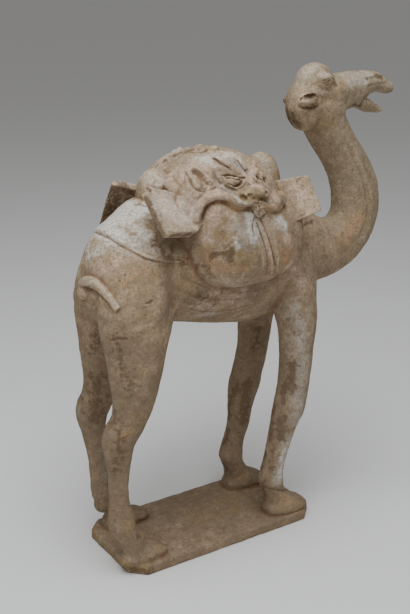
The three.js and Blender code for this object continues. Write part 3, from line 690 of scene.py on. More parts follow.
def board(name, thick, stations):
    """A strip of slab between its top and bottom edges, with its thickness on the inner side and its edges worn."""
    shell = new_shell(name)
    for station in stations:
        top, low = Vector(station[:3]), Vector(station[3:])
        inward = (low - top).normalized().cross(Vector((math.copysign(1, low.y), 0, 0))) * thick
        inward.x = -BOARD["slant"]
        corners = iter([top, low, low + inward, top + inward])
        add_ring(shell, 4, lambda dot, corners=corners: next(corners))
    close_ends(shell, 4)
    apply_modifier(shell, "BEVEL", width=BOARD["worn"] * MM, segments=2, limit_method="ANGLE")
    return shell


def lump(name, at, half, turn=(0, 0, 0), power=2, rise=None):
    """A rounded lump of clay. Powers over 2 make it squarer: "power" as seen from above, "rise" from the side."""
    rise = rise or power
    let_go()
    bpy.ops.mesh.primitive_uv_sphere_add(segments=40, ring_count=24, radius=1, location=(0, 0, 0))
    ball = bpy.context.object
    ball.name = ball.data.name = name
    for vert in ball.data.vertices:
        x, y, z = (abs(part) for part in vert.co)
        level = (x**power + y**power) ** (1 / power)
        vert.co /= (level**rise + z**rise) ** (1 / rise)
    ball.rotation_mode = "ZYX"
    ball.rotation_euler = turn
    ball.scale = Vector(half) * MM
    ball.location = Vector(at) * MM
    bpy.ops.object.transform_apply()
    return ball


def roll(name, path, radii):
    """A roll of clay laid along a path, as thick as its radii say from end to end."""
    let_go()
    bpy.ops.curve.primitive_bezier_curve_add(location=(0, 0, 0))
    line = bpy.context.object
    line.name = name
    spline = line.data.splines[0]
    spline.bezier_points.add(len(path) - len(spline.bezier_points))
    for point, place, radius in zip(spline.bezier_points, path, radii):
        point.co = Vector(place) * MM
        point.radius = radius
        point.handle_left_type = point.handle_right_type = "AUTO"
    line.data.dimensions = "3D"
    line.data.bevel_depth = MM
    line.data.bevel_resolution = 3
    line.data.use_fill_caps = True
    bpy.ops.object.convert(target="MESH")
    return bpy.context.object


def hollowed(piece, hollow):
    """Cuts the hollow out of a piece and throws it away."""
    apply_modifier(piece, "BOOLEAN", object=hollow, operation="DIFFERENCE", solver="EXACT")
    take(hollow)
    bpy.ops.object.delete()
    return piece


def mirrored(piece):
    """A copy of a piece on the camel's other side."""
    take(piece)
    bpy.ops.object.duplicate()
    copy = bpy.context.object
    bpy.ops.object.mode_set(mode="EDIT")
    bpy.ops.mesh.select_all(action="SELECT")
    bpy.ops.transform.mirror(constraint_axis=(False, True, False), orient_type="GLOBAL", center_override=(0, 0, 0))
    bpy.ops.mesh.normals_make_consistent(inside=False)
    bpy.ops.object.mode_set(mode="OBJECT")
    return copy


def remeshed(piece, grain):
    """Fuses the lumps of a piece into one even skin of that grain."""
    take(piece)
    piece.data.remesh_voxel_size = grain
    bpy.ops.object.voxel_remesh()
    return piece


def ahead_at(steps, z):
    """How far ahead of its fellow something on the left side stands at a height."""
    heights, aheads = zip(*reversed(steps))
    return float(np.interp(z, heights, aheads))


def on_left(stations, ahead):
    """A leg's stations for the left side."""
    return [[x + ahead_at(ahead, z), -y, z, *half] for x, y, z, *half in stations]


def foot(name, at, wide, tall):
    """The pad of a foot, with its pastern's middle at a place."""
    x, y = at
    return loft(name, [[x + dx, y, z, half * wide, above * tall, below] for dx, _, z, half, above, below in PAD])


# ---------------------------------------------------------------- tool marks and stains


def sight(dot):
    """The direction from the viewer's eye through a dot of the picture."""
    turn, dip = math.radians(VIEW["turn"]), math.radians(VIEW["dip"])
    forward = Vector((math.cos(turn) * math.cos(dip), math.sin(turn) * math.cos(dip), -math.sin(dip)))
    right = Vector((math.sin(turn), -math.cos(turn), 0))
    across, down = dot[0] - VIEW["width"] / 2, dot[1] - VIEW["height"] / 2
    return (forward * VIEW["focal"] + right * across - right.cross(forward) * down).normalized()


def on_skin(skin, dots):
    """The places on the skin, in metres, where dots of the picture are seen."""
    eye = Vector(VIEW["eye"]) * MM
    run = threaded(dots, 3) if len(dots) > 1 else dots
    hits = [skin.ray_cast(eye, sight(dot))[0] for dot in run]
    return np.array([hit for hit in hits if hit is not None])


def nearness(points, path, reach):
    """How near each point is to a path of places: 1 on it, fading out over the reach."""
    felt = np.zeros(len(points))
    far = 3 * reach
    low, high = path.min(0) - far, path.max(0) + far
    near = np.flatnonzero(((points > low) & (points < high)).all(1))
    if not len(near):
        return felt
    least = np.full(len(near), np.inf)
    for start, end in zip(path, path[1:] if len(path) > 1 else path):
        span = end - start
        along = np.clip((points[near] - start) @ span / max(span @ span, 1e-12), 0, 1)
        least = np.minimum(least, np.linalg.norm(points[near] - start - along[:, None] * span, axis=1))
    felt[near] = np.exp(-((least / reach) ** 2))
    return felt


def both_paths(skin, dots, both):
    """A run of dots as a path on the right flank, and where both is set on the left flank too."""
    path = on_skin(skin, dots)
    if not len(path):
        return []
    if not both:
        return [path]
    other = [skin.find_nearest(Vector((x, -y, z)))[0] for x, y, z in path]
    return [path, np.array(other)]


def read_points(figure):
    """The places and normals of a figure's vertices."""
    count = len(figure.data.vertices)
    points, normals = np.zeros(count * 3), np.zeros(count * 3)
    figure.data.vertices.foreach_get("co", points)
    figure.data.vertex_normals.foreach_get("vector", normals)
    return points.reshape(-1, 3), normals.reshape(-1, 3)


def soften(figure, share, times):
    """Smooths the skin over, by its share from 0 to 1 at each vertex."""
    group = figure.vertex_groups.new(name="soft")
    for index in np.flatnonzero(share > 0.02):
        group.add([int(index)], float(share[index]), "REPLACE")
    apply_modifier(figure, "SMOOTH", factor=0.5, iterations=times, vertex_group="soft")
    figure.vertex_groups.clear()


def within(points, at, half):
    """How far inside a rounded space each point is: 1 well inside it, 0 outside."""
    away = np.linalg.norm((points - np.array(at) * MM) / (np.array(half) * MM), axis=1)
    return np.clip(3 * (1 - away), 0, 1)


def on_right(points):
    """The same points, those of the left flank laid over on the right."""
    return np.column_stack([points[:, 0], -np.abs(points[:, 1]), points[:, 2]])


def fine_work(figure, depth=0.0):
    """Which vertices lie where the clay is worked finest, and a little inside it where a depth is given."""
    points, _ = read_points(figure)
    return np.max([within(points, **space) for space in FINE_WORK], axis=0) > depth


def select_points(figure, chosen):
    """Selects the faces whose vertices are all chosen, and goes into edit mode."""
    take(figure)
    bpy.ops.object.mode_set(mode="EDIT")
    bpy.ops.mesh.select_all(action="DESELECT")
    bpy.ops.object.mode_set(mode="OBJECT")
    figure.data.vertices.foreach_set("select", chosen)
    bpy.ops.object.mode_set(mode="EDIT")


def roughen(figure, size, depth):
    """Makes the skin uneven, with dents of a size and depth in millimetres."""
    dents = bpy.data.textures.new("dents", "CLOUDS")
    dents.noise_scale = size * MM
    apply_modifier(figure, "DISPLACE", texture=dents, texture_coords="LOCAL", strength=depth * MM, mid_level=0.5)


def press(figure, skin, marks, both):
    """Presses marks into a figure's skin, or raises them on it."""
    points, normals = read_points(figure)
    rise = np.zeros(len(points))
    for width, height, dots in marks:
        for path in both_paths(skin, dots, both):
            rise += height * MM * nearness(points, path, width * MM)
    figure.data.vertices.foreach_set("co", (points + normals * rise[:, None]).ravel())
    figure.data.update()


def grime_and_shade(figure, skin):
    """How much earth and painted shade darken the narrow cuts."""
    points, _ = read_points(figure)
    settled = np.zeros(len(points))
    for both, marks in ((True, BROAD_BOTH + FINE_BOTH), (False, BROAD_RIGHT + FINE_RIGHT)):
        for width, height, dots in marks:
            if height < 0 and width < GRIME_AND_SHADE["widest"]:
                reach = (GRIME_AND_SHADE["spread"] + GRIME_AND_SHADE["share"] * width) * MM
                for path in both_paths(skin, dots, both):
                    felt = min(1, -height / GRIME_AND_SHADE["full depth"]) * nearness(points, path, reach)
                    settled = np.maximum(settled, felt)
    return settled


def thin_out(figure, chosen, triangles):
    """Simplifies a part of the skin to about so many triangles."""
    select_points(figure, chosen)
    held = sum(len(face.verts) - 2 for face in bmesh.from_edit_mesh(figure.data).faces if face.select)
    bpy.ops.mesh.decimate(ratio=min(1, triangles / held))
    bpy.ops.object.mode_set(mode="OBJECT")


def stand_flat(figure):
    """Presses the foot of a figure flat on the floor."""
    points, _ = read_points(figure)
    points[:, 2] = np.maximum(points[:, 2], 0)
    figure.data.vertices.foreach_set("co", points.ravel())
    figure.data.update()


def patch_amount(figure, skin, patches, one_side=()):
    """How much of a patch, stain or painted light, lies on each vertex: patches on both flanks, and some on the seen
    side alone.
    """
    points, _ = read_points(figure)
    amount = np.zeros(len(points))
    for both, run in ((True, patches), (False, one_side)):
        for reach, strength, dots in run:
            for path in both_paths(skin, dots, both):
                amount = np.maximum(amount, strength * nearness(points, path, reach * MM))
    return amount


def write_amount(figure, name, amount):
    """Keeps one number for each vertex under a name that the finish reads."""
    layer = figure.data.attributes.new(name, "FLOAT", "POINT")
    layer.data.foreach_set("value", amount.astype(np.float32))


def evened(points, edges, times):
    """Points after each has moved to the middle of its neighbours a number of times."""
    one, other = edges.T
    count = np.bincount(edges.ravel(), minlength=len(points))[:, None]
    size = len(points)
    for _ in range(times):
        totals = [
            np.bincount(one, points[other, axis], size) + np.bincount(other, points[one, axis], size)
            for axis in range(3)
        ]
        points = np.stack(totals, axis=1) / count
    return points


def hollowness(figure, times):
    """How far each vertex lies under the evened surface round it, in millimetres."""
    points, normals = read_points(figure)
    edges = np.zeros(len(figure.data.edges) * 2, np.int32)
    figure.data.edges.foreach_get("vertices", edges)
    return ((evened(points, edges.reshape(-1, 2), times) - points) * normals).sum(1) / MM


# ---------------------------------------------------------------- the finish


class Finish:
    """Lays out the nodes of a finish, reading the figure's own coordinates."""

    def __init__(self, name):
        self.material = bpy.data.materials.new(name)
        self.material.use_nodes = True
        self.tree = self.material.node_tree
        self.shader = self.tree.nodes["Principled BSDF"]
        self.place = self.tree.nodes.new("ShaderNodeTexCoord").outputs["Object"]

    def node(self, kind, **settings):
        node = self.tree.nodes.new(kind)
        for name, value in settings.items():
            setattr(node, name, value)
        return node

    def feed(self, socket, value):
        if isinstance(value, bpy.types.NodeSocket):
            self.tree.links.new(value, socket)
        else:
            socket.default_value = value

    def noise(self, size, detail=4, roughness=0.55, shift=0):
        """Cloudy noise with blots of a size in millimetres."""
        moved = self.node("ShaderNodeMapping")
        self.feed(moved.inputs["Vector"], self.place)
        moved.inputs["Location"].default_value = (shift, shift * 0.7, -shift)
        clouds = self.node("ShaderNodeTexNoise")
        self.feed(clouds.inputs["Vector"], moved.outputs["Vector"])
        clouds.inputs["Scale"].default_value = 1 / (size * MM)
        clouds.inputs["Detail"].default_value = detail
        clouds.inputs["Roughness"].default_value = roughness
        return clouds.outputs["Fac"]

    def sum(self, one, other, operation="ADD"):
        node = self.node("ShaderNodeMath", operation=operation)
        self.feed(node.inputs[0], one)
        self.feed(node.inputs[1], other)
        return node.outputs[0]

    def step(self, value, low, high, top=1.0):
        """A soft step up from 0 at low to the top at high."""
        node = self.node("ShaderNodeMapRange", interpolation_type="SMOOTHSTEP")
        self.feed(node.inputs["Value"], value)
        node.inputs["From Min"].default_value = low
        node.inputs["From Max"].default_value = high
        node.inputs["To Max"].default_value = top
        return node.outputs["Result"]

    def amount(self, name):
        """What is written on the vertices under a name."""
        return self.node("ShaderNodeAttribute", attribute_name=name).outputs["Fac"]

    def patchy(self, name, size, ragged, top=1.0, edge=0.12, shift=0):
        """A patch of stain or painted light with a ragged edge."""
        blots = self.sum(self.noise(size, detail=6, roughness=0.65, shift=shift), 0.5, "SUBTRACT")
        torn = self.sum(blots, ragged, "MULTIPLY")
        return self.step(self.sum(self.amount(name), torn), PATCH_EDGE - edge, PATCH_EDGE + edge, top)

    def over(self, under, color, amount):
        """A colour laid over what is under it."""
        node = self.node("ShaderNodeMix", data_type="RGBA")
        self.feed(node.inputs[0], amount)
        self.feed(node.inputs[6], under)
        self.feed(node.inputs[7], color if isinstance(color, bpy.types.NodeSocket) else (*color, 1))
        return node.outputs[2]

    def bump(self, height, depth, under=None):
        node = self.node("ShaderNodeBump")
        node.inputs["Distance"].default_value = depth * MM
        node.inputs["Strength"].default_value = 1
        self.feed(node.inputs["Height"], height)
        if under:
            self.feed(node.inputs["Normal"], under)
        return node.outputs["Normal"]


def fired_clay(fire):
    """Low-fired buff clay: slip that has flaked, ochre and umber burial stains, dark earth, the clay darker towards
    the bottom, and painted shade in the hollows, cuts and shaded places, with a few painted highlights.
    """
    clay = Finish("fired clay")
    broad = clay.step(clay.noise(46, detail=5), 0.36, 0.64)
    fine = clay.step(clay.noise(9, detail=6, roughness=0.65, shift=3), 0.35, 0.68)
    grain = clay.step(clay.noise(2.6, detail=4, roughness=0.7, shift=7), 0.36, 0.66)
    flecks = clay.step(clay.noise(12, detail=6, roughness=0.7, shift=9), 0.55, 0.7)
    spots = clay.step(clay.noise(4, detail=4, roughness=0.7, shift=11), 0.58, 0.66)
    spotted = clay.step(clay.noise(28, shift=12), 0.38, 0.56)
    color = clay.over((*fire.clay, 1), fire.umber, clay.sum(broad, 0.6, "MULTIPLY"))
    # Umber where the clay is darker towards the bottom, and painted shade
    color = clay.over(color, fire.umber, clay.patchy("low", 16, 1.6, top=0.8, edge=0.35, shift=1))
    color = clay.over(color, fire.dun, clay.patchy("dun", 20, 1.0, top=0.8, edge=0.4, shift=16))
    # Ochre and ember, partly painted warm shade under the mask's lip and cheek and in its ear
    color = clay.over(color, fire.ochre, clay.patchy("ochre", 16, 1.4, top=0.75, edge=0.3, shift=2))
    color = clay.over(color, fire.ember, clay.patchy("ember", 9, 1.6, top=0.7, edge=0.4, shift=18))
    color = clay.over(color, fire.blush, clay.patchy("blush", 14, 1.2, top=0.85, edge=0.3, shift=4))
    color = clay.over(color, fire.olive, clay.patchy("olive", 8, 1.4, top=0.75, edge=0.2, shift=5))
    color = clay.over(color, fire.umber, clay.sum(fine, 0.6, "MULTIPLY"))
    # Pale veil and slip, with painted highlights along some lit edges and ridges
    color = clay.over(color, fire.slip, clay.patchy("veil", 7, 1.9, top=0.34, edge=0.45, shift=15))
    color = clay.over(color, fire.slip, clay.patchy("slip", 6, 1.7, top=0.88, edge=0.36, shift=6))
    # Grey bloom, and painted grey shade beside the mask's eye
    color = clay.over(color, fire.ash, clay.patchy("ash", 7, 1.2, top=0.7, edge=0.2, shift=8))
    # The places that neither the darkening towards the bottom nor the painted shade reaches, where pale flecks and
    # worn edges show
    high = clay.step(clay.sum(clay.amount("low"), -1, "MULTIPLY"), -0.5, -0.2)
    color = clay.over(color, fire.worn, clay.sum(clay.sum(flecks, high, "MULTIPLY"), 0.35, "MULTIPLY"))
    edges = clay.step(clay.sum(clay.amount("hollow"), -1, "MULTIPLY"), 0.06, 0.7, 0.5)
    color = clay.over(color, fire.worn, clay.sum(edges, high, "MULTIPLY"))
    # Dark earth, and painted shade in the hollows and under the boards
    color = clay.over(color, fire.soil_and_shade, clay.patchy("soil_and_shade", 6, 2.6, top=0.75, edge=0.2, shift=10))
    color = clay.over(color, fire.soil_and_shade, clay.sum(clay.sum(spots, spotted, "MULTIPLY"), 0.6, "MULTIPLY"))
    # Painted warm shade in the broad valleys and the narrow hollows of the skin
    color = clay.over(color, fire.fold_shade, clay.step(clay.amount("valley"), 0.2, 3.5, 0.55))
    color = clay.over(color, fire.fold_shade, clay.step(clay.amount("hollow"), 0.05, 0.9, 0.8))
    # Earth and painted shade in the narrow cuts
    color = clay.over(color, fire.soil_and_shade, clay.patchy("grime_and_shade", 3, 0.9, top=0.85, edge=0.4, shift=17))
    color = clay.over(color, fire.umber, clay.sum(grain, 0.55, "MULTIPLY"))
    clay.feed(clay.shader.inputs["Base Color"], color)
    clay.shader.inputs["Roughness"].default_value = fire.roughness
    clay.shader.inputs["Specular IOR Level"].default_value = 0.2
    uneven = clay.bump(clay.noise(7, detail=5, roughness=0.6, shift=13), fire.unevenness / MM)
    pits = clay.step(clay.noise(2.2, detail=2, shift=14), 0.28, 0.42)
    clay.feed(clay.shader.inputs["Normal"], clay.bump(pits, fire.pit_depth / MM, uneven))
    return clay.material


# ---------------------------------------------------------------- settings


class ClaySettings(bpy.types.PropertyGroup):
    """Sizes of the slab and grain of the clay"""

    slab_length: FloatProperty(
        name="Slab length", description="Length of the slab that the camel stands on", default=0.28, unit="LENGTH"
    )
    slab_width: FloatProperty(name="Slab width", description="Width of the slab", default=0.134, unit="LENGTH")
    slab_thickness: FloatProperty(
        name="Slab thickness", description="Thickness of the slab", default=0.0134, unit="LENGTH"
    )
    slab_corner: FloatProperty(
        name="Slab corner", description="How much is cut off each corner of the slab", default=0.0184, unit="LENGTH"
    )
    body_grain: FloatProperty(
        name="Body grain", description="Grain of the body's clay before it is smoothed", default=0.0016, unit="LENGTH"
    )
    skin_grain: FloatProperty(
        name="Skin grain", description="Grain of the finished skin", default=0.0012, unit="LENGTH"
    )
    face_triangles: IntProperty(
        name="Face triangles", description="About how many triangles the finely worked faces keep",
        default=70000, min=1000,
    )
    body_triangles: IntProperty(
        name="Body triangles", description="About how many triangles the rest keeps",
        default=112000, min=1000,
    )
    mask_softening: IntProperty(
        name="Mask softening", description="How often the monster's face is smoothed over before its marks",
        default=10, min=0,
    )
    smoothing: IntProperty(
        name="Smoothing", description="How often the body's joints are smoothed over",
        default=24, min=0,
    )


class FireSettings(bpy.types.PropertyGroup):
    """Colours and grain of the fired clay and what lies on it"""

    clay: FloatVectorProperty(
        name="Clay", description="Colour of the bare fired clay",
        subtype="COLOR", default=(0.50, 0.36, 0.225), min=0, max=1,
    )
    dun: FloatVectorProperty(
        name="Dun", description="Grey buff of the neck and the head",
        subtype="COLOR", default=(0.36, 0.29, 0.19), min=0, max=1,
    )
    # Umber is also laid where the clay is darker towards the bottom, and as painted shade
    umber: FloatVectorProperty(
        name="Umber", description="Duller brown of the legs and the mottling",
        subtype="COLOR", default=(0.205, 0.145, 0.092), min=0, max=1,
    )
    # Ochre, also in the painted warm shade under the mask's lip and cheek
    ochre: FloatVectorProperty(
        name="Ochre", description="Yellow brown burial stain",
        subtype="COLOR", default=(0.41, 0.26, 0.125), min=0, max=1,
    )
    # Ember, also in the painted warm shade under the mask's lip and cheek
    ember: FloatVectorProperty(
        name="Ember", description="Orange flush of the firing",
        subtype="COLOR", default=(0.50, 0.27, 0.13), min=0, max=1,
    )
    blush: FloatVectorProperty(
        name="Blush", description="Pinkish clay of the boards and the mask",
        subtype="COLOR", default=(0.70, 0.50, 0.37), min=0, max=1,
    )
    olive: FloatVectorProperty(
        name="Olive", description="Greenish brown stain",
        subtype="COLOR", default=(0.27, 0.19, 0.075), min=0, max=1,
    )
    # Slip, also the colour of the painted highlights along lit edges and ridges
    slip: FloatVectorProperty(
        name="Slip", description="Remains of the pale slip",
        subtype="COLOR", default=(0.74, 0.70, 0.63), min=0, max=1,
    )
    # Grey bloom, also the painted grey shade beside the mask's eye
    ash: FloatVectorProperty(
        name="Ash", description="Grey bloom",
        subtype="COLOR", default=(0.31, 0.29, 0.285), min=0, max=1,
    )
    # Dark earth, and also the colour of the painted shade in the cuts, hollows and shaded places
    soil_and_shade: FloatVectorProperty(
        name="Soil and shade", description="Dark earth in hollows and flaked places",
        subtype="COLOR", default=(0.10, 0.058, 0.03), min=0, max=1,
    )
    # Painted warm shade in the folds and hollows
    fold_shade: FloatVectorProperty(
        name="Fold shade", description="Warm brown in the folds",
        subtype="COLOR", default=(0.19, 0.10, 0.05), min=0, max=1,
    )
    worn: FloatVectorProperty(
        name="Worn edges", description="Pale rubbed ridges and edges",
        subtype="COLOR", default=(0.66, 0.52, 0.38), min=0, max=1,
    )
    roughness: FloatProperty(name="Roughness", description="Roughness of the matt clay", default=0.92, min=0, max=1)
    unevenness: FloatProperty(
        name="Unevenness", description="Depth of the uneven surface", default=0.0012, unit="LENGTH"
    )
    pit_depth: FloatProperty(name="Pit depth", description="Depth of the fine pits", default=0.0006, unit="LENGTH")


class StageSettings(bpy.types.PropertyGroup):
    """The floor and the lights"""

    floor_size: FloatProperty(name="Floor size", description="Side of the floor", default=160.0, unit="LENGTH")
    floor_color: FloatVectorProperty(
        name="Floor colour", description="Colour of the floor",
        subtype="COLOR", default=(0.78, 0.77, 0.75), min=0, max=1,
    )
    overhead_power: FloatProperty(
        name="Overhead light", description="Power of the large soft light above", default=38.0, unit="POWER"
    )
    side_power: FloatProperty(
        name="Side light", description="Power of the soft light beside the camera", default=3.0, unit="POWER"
    )
    light_color: FloatVectorProperty(
        name="Light colour", description="Colour of both lights",
        subtype="COLOR", default=(0.92, 0.97, 1.0), min=0, max=1,
    )
    sky_strength: FloatProperty(name="Sky", description="Strength of the even light all round", default=0.28, min=0)


# ---------------------------------------------------------------- the pieces


class CLAY_OT_slab(bpy.types.Operator):
    """Cuts the slab that the camel stands on"""

    bl_idname = "clay.slab"
    bl_label = "Slab"

    def execute(self, context):
        clay = context.scene.clay
        let_go()
        bpy.ops.mesh.primitive_cube_add(
            size=1,
            location=(0, 0, clay.slab_thickness / 2),
            scale=(clay.slab_length, clay.slab_width, clay.slab_thickness),
        )
        slab = context.object
        slab.name = slab.data.name = "slab"
        bpy.ops.object.transform_apply()
        bpy.ops.object.mode_set(mode="EDIT")
        bpy.ops.mesh.select_all(action="DESELECT")
        mesh = bmesh.from_edit_mesh(slab.data)
        for edge in mesh.edges:
            one, other = edge.verts
            if abs(one.co.z - other.co.z) > clay.slab_thickness / 2:
                edge.select_set(True)
        bmesh.update_edit_mesh(slab.data)
        bpy.ops.mesh.bevel(offset=clay.slab_corner, offset_type="OFFSET", segments=1)
        bpy.ops.object.mode_set(mode="OBJECT")
        apply_modifier(slab, "BEVEL", width=SLAB_RIM * MM, segments=2, limit_method="ANGLE")
        return {"FINISHED"}


class CLAY_OT_body(bpy.types.Operator):
    """Models the trunk, the neck and the four legs, and smooths them into one body"""

    bl_idname = "clay.body"
    bl_label = "Body"

    def execute(self, context):
        clay = context.scene.clay
        hind_left = (HIND_PAD["at"][0] + ahead_at(HIND_AHEAD, 0), -HIND_PAD["at"][1])
        fore_left = (FORE_PAD["at"][0] + ahead_at(FORE_AHEAD, 0), -FORE_PAD["at"][1])
        forms = [
            loft("trunk", TRUNK, sides=40, steps=4),
            loft("neck", NECK, sides=32, steps=4),
            loft("right hind leg", HIND_LEG),
            loft("left hind leg", on_left(HIND_LEG, HIND_AHEAD)),
            loft("right fore leg", FORE_LEG),
            loft("left fore leg", on_left(FORE_LEG, FORE_AHEAD)),
            foot("right hind foot", **HIND_PAD),
            foot("left hind foot", hind_left, HIND_PAD["wide"], HIND_PAD["tall"]),
            foot("right fore foot", **FORE_PAD),
            foot("left fore foot", fore_left, FORE_PAD["wide"], FORE_PAD["tall"]),
            lump("left hind pastern", **PASTERN),
            lump("crown", **CROWN),
            lump("occiput", **OCCIPUT),
            loft("muzzle", MUZZLE, steps=4),
            loft("jaw", JAW, steps=4),
        ]
        for number, shape in enumerate(FACE):
            side = lump(f"face {number}", **shape)
            forms += [side, mirrored(side)]
        body = remeshed(joined("body", forms), clay.body_grain)
        points, _ = read_points(body)
        soften(body, 1 - LIPS_KEPT * within(points, **LIPS), clay.smoothing)
        return {"FINISHED"}


class CLAY_OT_head(bpy.types.Operator):
    """Sets the ears on the head, and makes the tools for the nostrils"""

    bl_idname = "clay.head"
    bl_label = "Ears and nostrils"

    def execute(self, context):
        hollowed(lump("right ear", **EAR), lump("hollow", **EAR_HOLLOW))
        lump("left ear stub", **EAR_STUB)
        body = bpy.data.objects["body"]
        nostril = lump("nostril", **NOSTRIL)
        hollowed(body, mirrored(nostril))
        hollowed(body, nostril)
        return {"FINISHED"}


class CLAY_OT_load(bpy.types.Operator):
    """Lays the load on: the humps, the saddle boards, the saddlebag with its masks, the blanket's hem and the tail"""

    bl_idname = "clay.load"
    bl_label = "Load, hem and tail"

    def execute(self, context):
        humps = [lump("hind hump", **HIND_HUMP), lump("fore hump", **FORE_HUMP)]
        boards = [board(f"{name} board", *end) for name, end in BOARDS.items()]

        flank = [lump("pouch", **POUCH)]
        flank += [lump("mask lump", **shape) for shape in MASK_LUMPS]
        flank += [roll("mask roll", **shape) for shape in MASK_ROLLS]
        right = joined("right flank", flank)
        left = mirrored(right)
        right_face = [lump("mask lump", **shape) for shape in RIGHT_LUMPS]
        right_face += [roll("mask roll", **shape) for shape in (*RIGHT_ROLLS, RIGHT_LIP)]
        right_ear = lump("mask ear", **RIGHT_MASK_EAR)

        start_x, start_z = MANE["from"]
        end_x, end_z = MANE["to"]
        curls = []
        for number in range(MANE["curls"]):
            along = number / (MANE["curls"] - 1)
            x = start_x + (end_x - start_x) * along
            y = MANE["apart"] * (1 if number % 2 else -1)
            z = start_z + (end_z - start_z) * math.sin(along * math.pi / 2)
            hook = [(x + ahead, y + aside, z + up) for ahead, aside, up in CURL["path"]]
            curls.append(roll("curl", hook, CURL["radii"]))
        left_face = [roll("left lip", **LEFT_LIP), lump("left mask ear", **LEFT_MASK_EAR)]
        saddlebag = [lump("dome", **HEAD_DOME), left, right, *right_face, right_ear, *left_face]

        path = [(x, -y, z) for x, y, z in reversed(HEM["path"][1:])] + HEM["path"]
        ends = len(path) - 1
        radii = [HEM["radius"] * (1 if number % ends else HEM["tips"]) for number in range(len(path))]
        hem = roll("hem", path, radii)
        tail = [lump("tail root", **TAIL_ROOT), roll("tail", **TAIL)]
        joined("load", [*humps, loft("saddle cloth", SADDLE_CLOTH), *boards, *saddlebag, *curls, hem, *tail])
        return {"FINISHED"}


class CLAY_OT_figure(bpy.types.Operator):
    """Fuses everything into the one clay figure"""

    bl_idname = "clay.figure"
    bl_label = "Figure"

    def execute(self, context):
        clay = context.scene.clay
        forms = [bpy.data.objects[name] for name in ("body", "slab", "right ear", "left ear stub", "load")]
        figure = remeshed(joined("camel_skin", forms), clay.skin_grain)
        apply_modifier(figure, "SMOOTH", factor=0.5, iterations=3)
        points, _ = read_points(figure)
        sided = on_right(points)
        soften(figure, within(sided, **MASK), clay.mask_softening)
        soften(figure, np.max([within(sided, **space) for space in BLENDS], axis=0), clay.smoothing)
        skin = BVHTree.FromObject(figure, context.evaluated_depsgraph_get())
        press(figure, skin, BROAD_BOTH, both=True)
        press(figure, skin, BROAD_RIGHT, both=False)
        apply_modifier(figure, "SMOOTH", factor=0.5, iterations=1)
        select_points(figure, fine_work(figure))
        bpy.ops.mesh.subdivide(number_cuts=1, smoothness=0)
        bpy.ops.object.mode_set(mode="OBJECT")
        press(figure, skin, FINE_BOTH, both=True)
        press(figure, skin, FINE_RIGHT, both=False)
        for size, depth in DENTS:
            roughen(figure, size, depth)
        stand_flat(figure)
        for name, times in EVENINGS.items():
            write_amount(figure, name, hollowness(figure, times))
        write_amount(figure, "grime_and_shade", grime_and_shade(figure, skin))
        thin_out(figure, fine_work(figure), clay.face_triangles)
        thin_out(figure, ~fine_work(figure, OVERLAP), clay.body_triangles)
        bpy.ops.object.shade_smooth()
        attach(figure, "root")
        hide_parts(SOLID)
        return {"FINISHED"}


class CLAY_OT_firing(bpy.types.Operator):
    """Stains the figure with slip, ochre and earth, paints shade and a few highlights into its colour, and gives it
    the look of fired clay
    """

    bl_idname = "clay.firing"
    bl_label = "Firing, stains and painted shade"

    def execute(self, context):
        figure = bpy.data.objects["camel_skin"]
        skin = BVHTree.FromObject(figure, context.evaluated_depsgraph_get())
        # Slip, stains and bloom, with the painted highlights and painted shade that some of their patches hold
        for name, patches in COLOUR_PATCHES.items():
            write_amount(figure, name, patch_amount(figure, skin, patches))
        # Dark earth and painted shade, some of the shade on the seen side alone
        write_amount(figure, "soil_and_shade", patch_amount(figure, skin, SOIL_AND_SHADE, one_side=SHADE_ON_SEEN_SIDE))
        points, _ = read_points(figure)
        along, height = points[:, 0] / MM, points[:, 2] / MM
        # Umber where the clay is darker towards the bottom, and the painted shade, both written as low
        by_height = np.interp(height, UMBER_HEIGHTS, UMBER_AMOUNTS)
        write_amount(figure, "low", np.maximum(by_height, patch_amount(figure, skin, PAINTED_SHADE)))
        dun = np.interp(along, DUN_ALONG, [0, DUN_MOST]) * np.interp(height, DUN_HEIGHTS, [0, 1])
        write_amount(figure, "dun", dun)
        figure.data.materials.clear()
        figure.data.materials.append(fired_clay(context.scene.clay_fire))
        return {"FINISHED"}


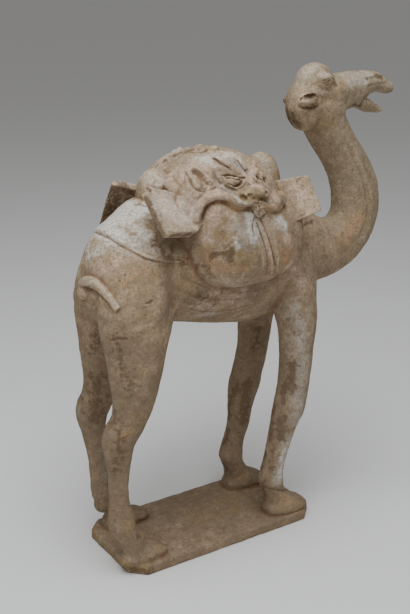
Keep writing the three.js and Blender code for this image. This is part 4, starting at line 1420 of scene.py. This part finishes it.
class CLAY_OT_stage(bpy.types.Operator):
    """Sets the figure on a plain floor under soft light, with the camera in front of it"""

    bl_idname = "clay.stage"
    bl_label = "Stage"

    def execute(self, context):
        stage = context.scene.clay_stage
        let_go()
        bpy.ops.mesh.primitive_plane_add(size=stage.floor_size, location=(0, 0, 0))
        floor = context.object
        floor.name = floor.data.name = "floor"
        paper = bpy.data.materials.new("pale paper")
        paper.use_nodes = True
        shader = paper.node_tree.nodes["Principled BSDF"]
        shader.inputs["Base Color"].default_value = (*stage.floor_color, 1)
        shader.inputs["Roughness"].default_value = 0.9
        floor.data.materials.append(paper)

        middle = Vector((0.04, 0, 0.3))
        for name, place, size, power in (
            ("overhead light", (-0.35, -0.45, 1.9), 1.6, stage.overhead_power),
            ("side light", (-1.5, -1.1, 0.9), 1.2, stage.side_power),
        ):
            turn = (middle - Vector(place)).to_track_quat("-Z", "Y").to_euler()
            bpy.ops.object.light_add(type="AREA", location=place, rotation=turn)
            light = context.object
            light.name = light.data.name = name
            light.data.shape = "DISK"
            light.data.size = size
            light.data.energy = power
            light.data.color = stage.light_color
        sky = bpy.data.worlds.new("sky")
        sky.use_nodes = True
        sky.node_tree.nodes["Background"].inputs["Color"].default_value = (1, 1, 1, 1)
        sky.node_tree.nodes["Background"].inputs["Strength"].default_value = stage.sky_strength
        context.scene.world = sky

        turn = (math.radians(90 - VIEW["dip"]), 0, math.radians(VIEW["turn"] - 90))
        bpy.ops.object.camera_add(location=Vector(VIEW["eye"]) * MM, rotation=turn)
        camera = context.object
        camera.name = camera.data.name = "camera"
        camera.data.sensor_width = 36
        camera.data.lens = camera.data.sensor_width * VIEW["focal"] / VIEW["height"]
        camera.data.clip_start = 0.01
        context.scene.camera = camera
        return {"FINISHED"}


class CLAY_PT_pieces(bpy.types.Panel):
    """The pieces of the camel, in the order they are made"""

    bl_idname = "CLAY_PT_pieces"
    bl_label = "Clay pack camel"
    bl_space_type = "VIEW_3D"
    bl_region_type = "UI"
    bl_category = "Clay"

    def draw(self, context):
        for settings in (context.scene.clay, context.scene.clay_fire, context.scene.clay_stage):
            box = self.layout.box()
            for name in settings.__annotations__:
                box.prop(settings, name)
        for piece in PIECES:
            self.layout.operator(piece.bl_idname)


PIECES = (CLAY_OT_slab, CLAY_OT_body, CLAY_OT_head, CLAY_OT_load, CLAY_OT_figure, CLAY_OT_firing, CLAY_OT_stage)
CLASSES = (ClaySettings, FireSettings, StageSettings, *PIECES, CLAY_PT_pieces)


def register():
    for item in CLASSES:
        bpy.utils.register_class(item)
    bpy.types.Scene.clay = PointerProperty(type=ClaySettings)
    bpy.types.Scene.clay_fire = PointerProperty(type=FireSettings)
    bpy.types.Scene.clay_stage = PointerProperty(type=StageSettings)


def unregister():
    del bpy.types.Scene.clay_stage
    del bpy.types.Scene.clay_fire
    del bpy.types.Scene.clay
    for item in reversed(CLASSES):
        bpy.utils.unregister_class(item)


def main():
    register()
    bpy.ops.clay.slab()
    bpy.ops.clay.body()
    bpy.ops.clay.head()
    bpy.ops.clay.load()
    bpy.ops.clay.figure()
    bpy.ops.clay.firing()
    bpy.ops.clay.stage()


if __name__ == "__main__":
    main()
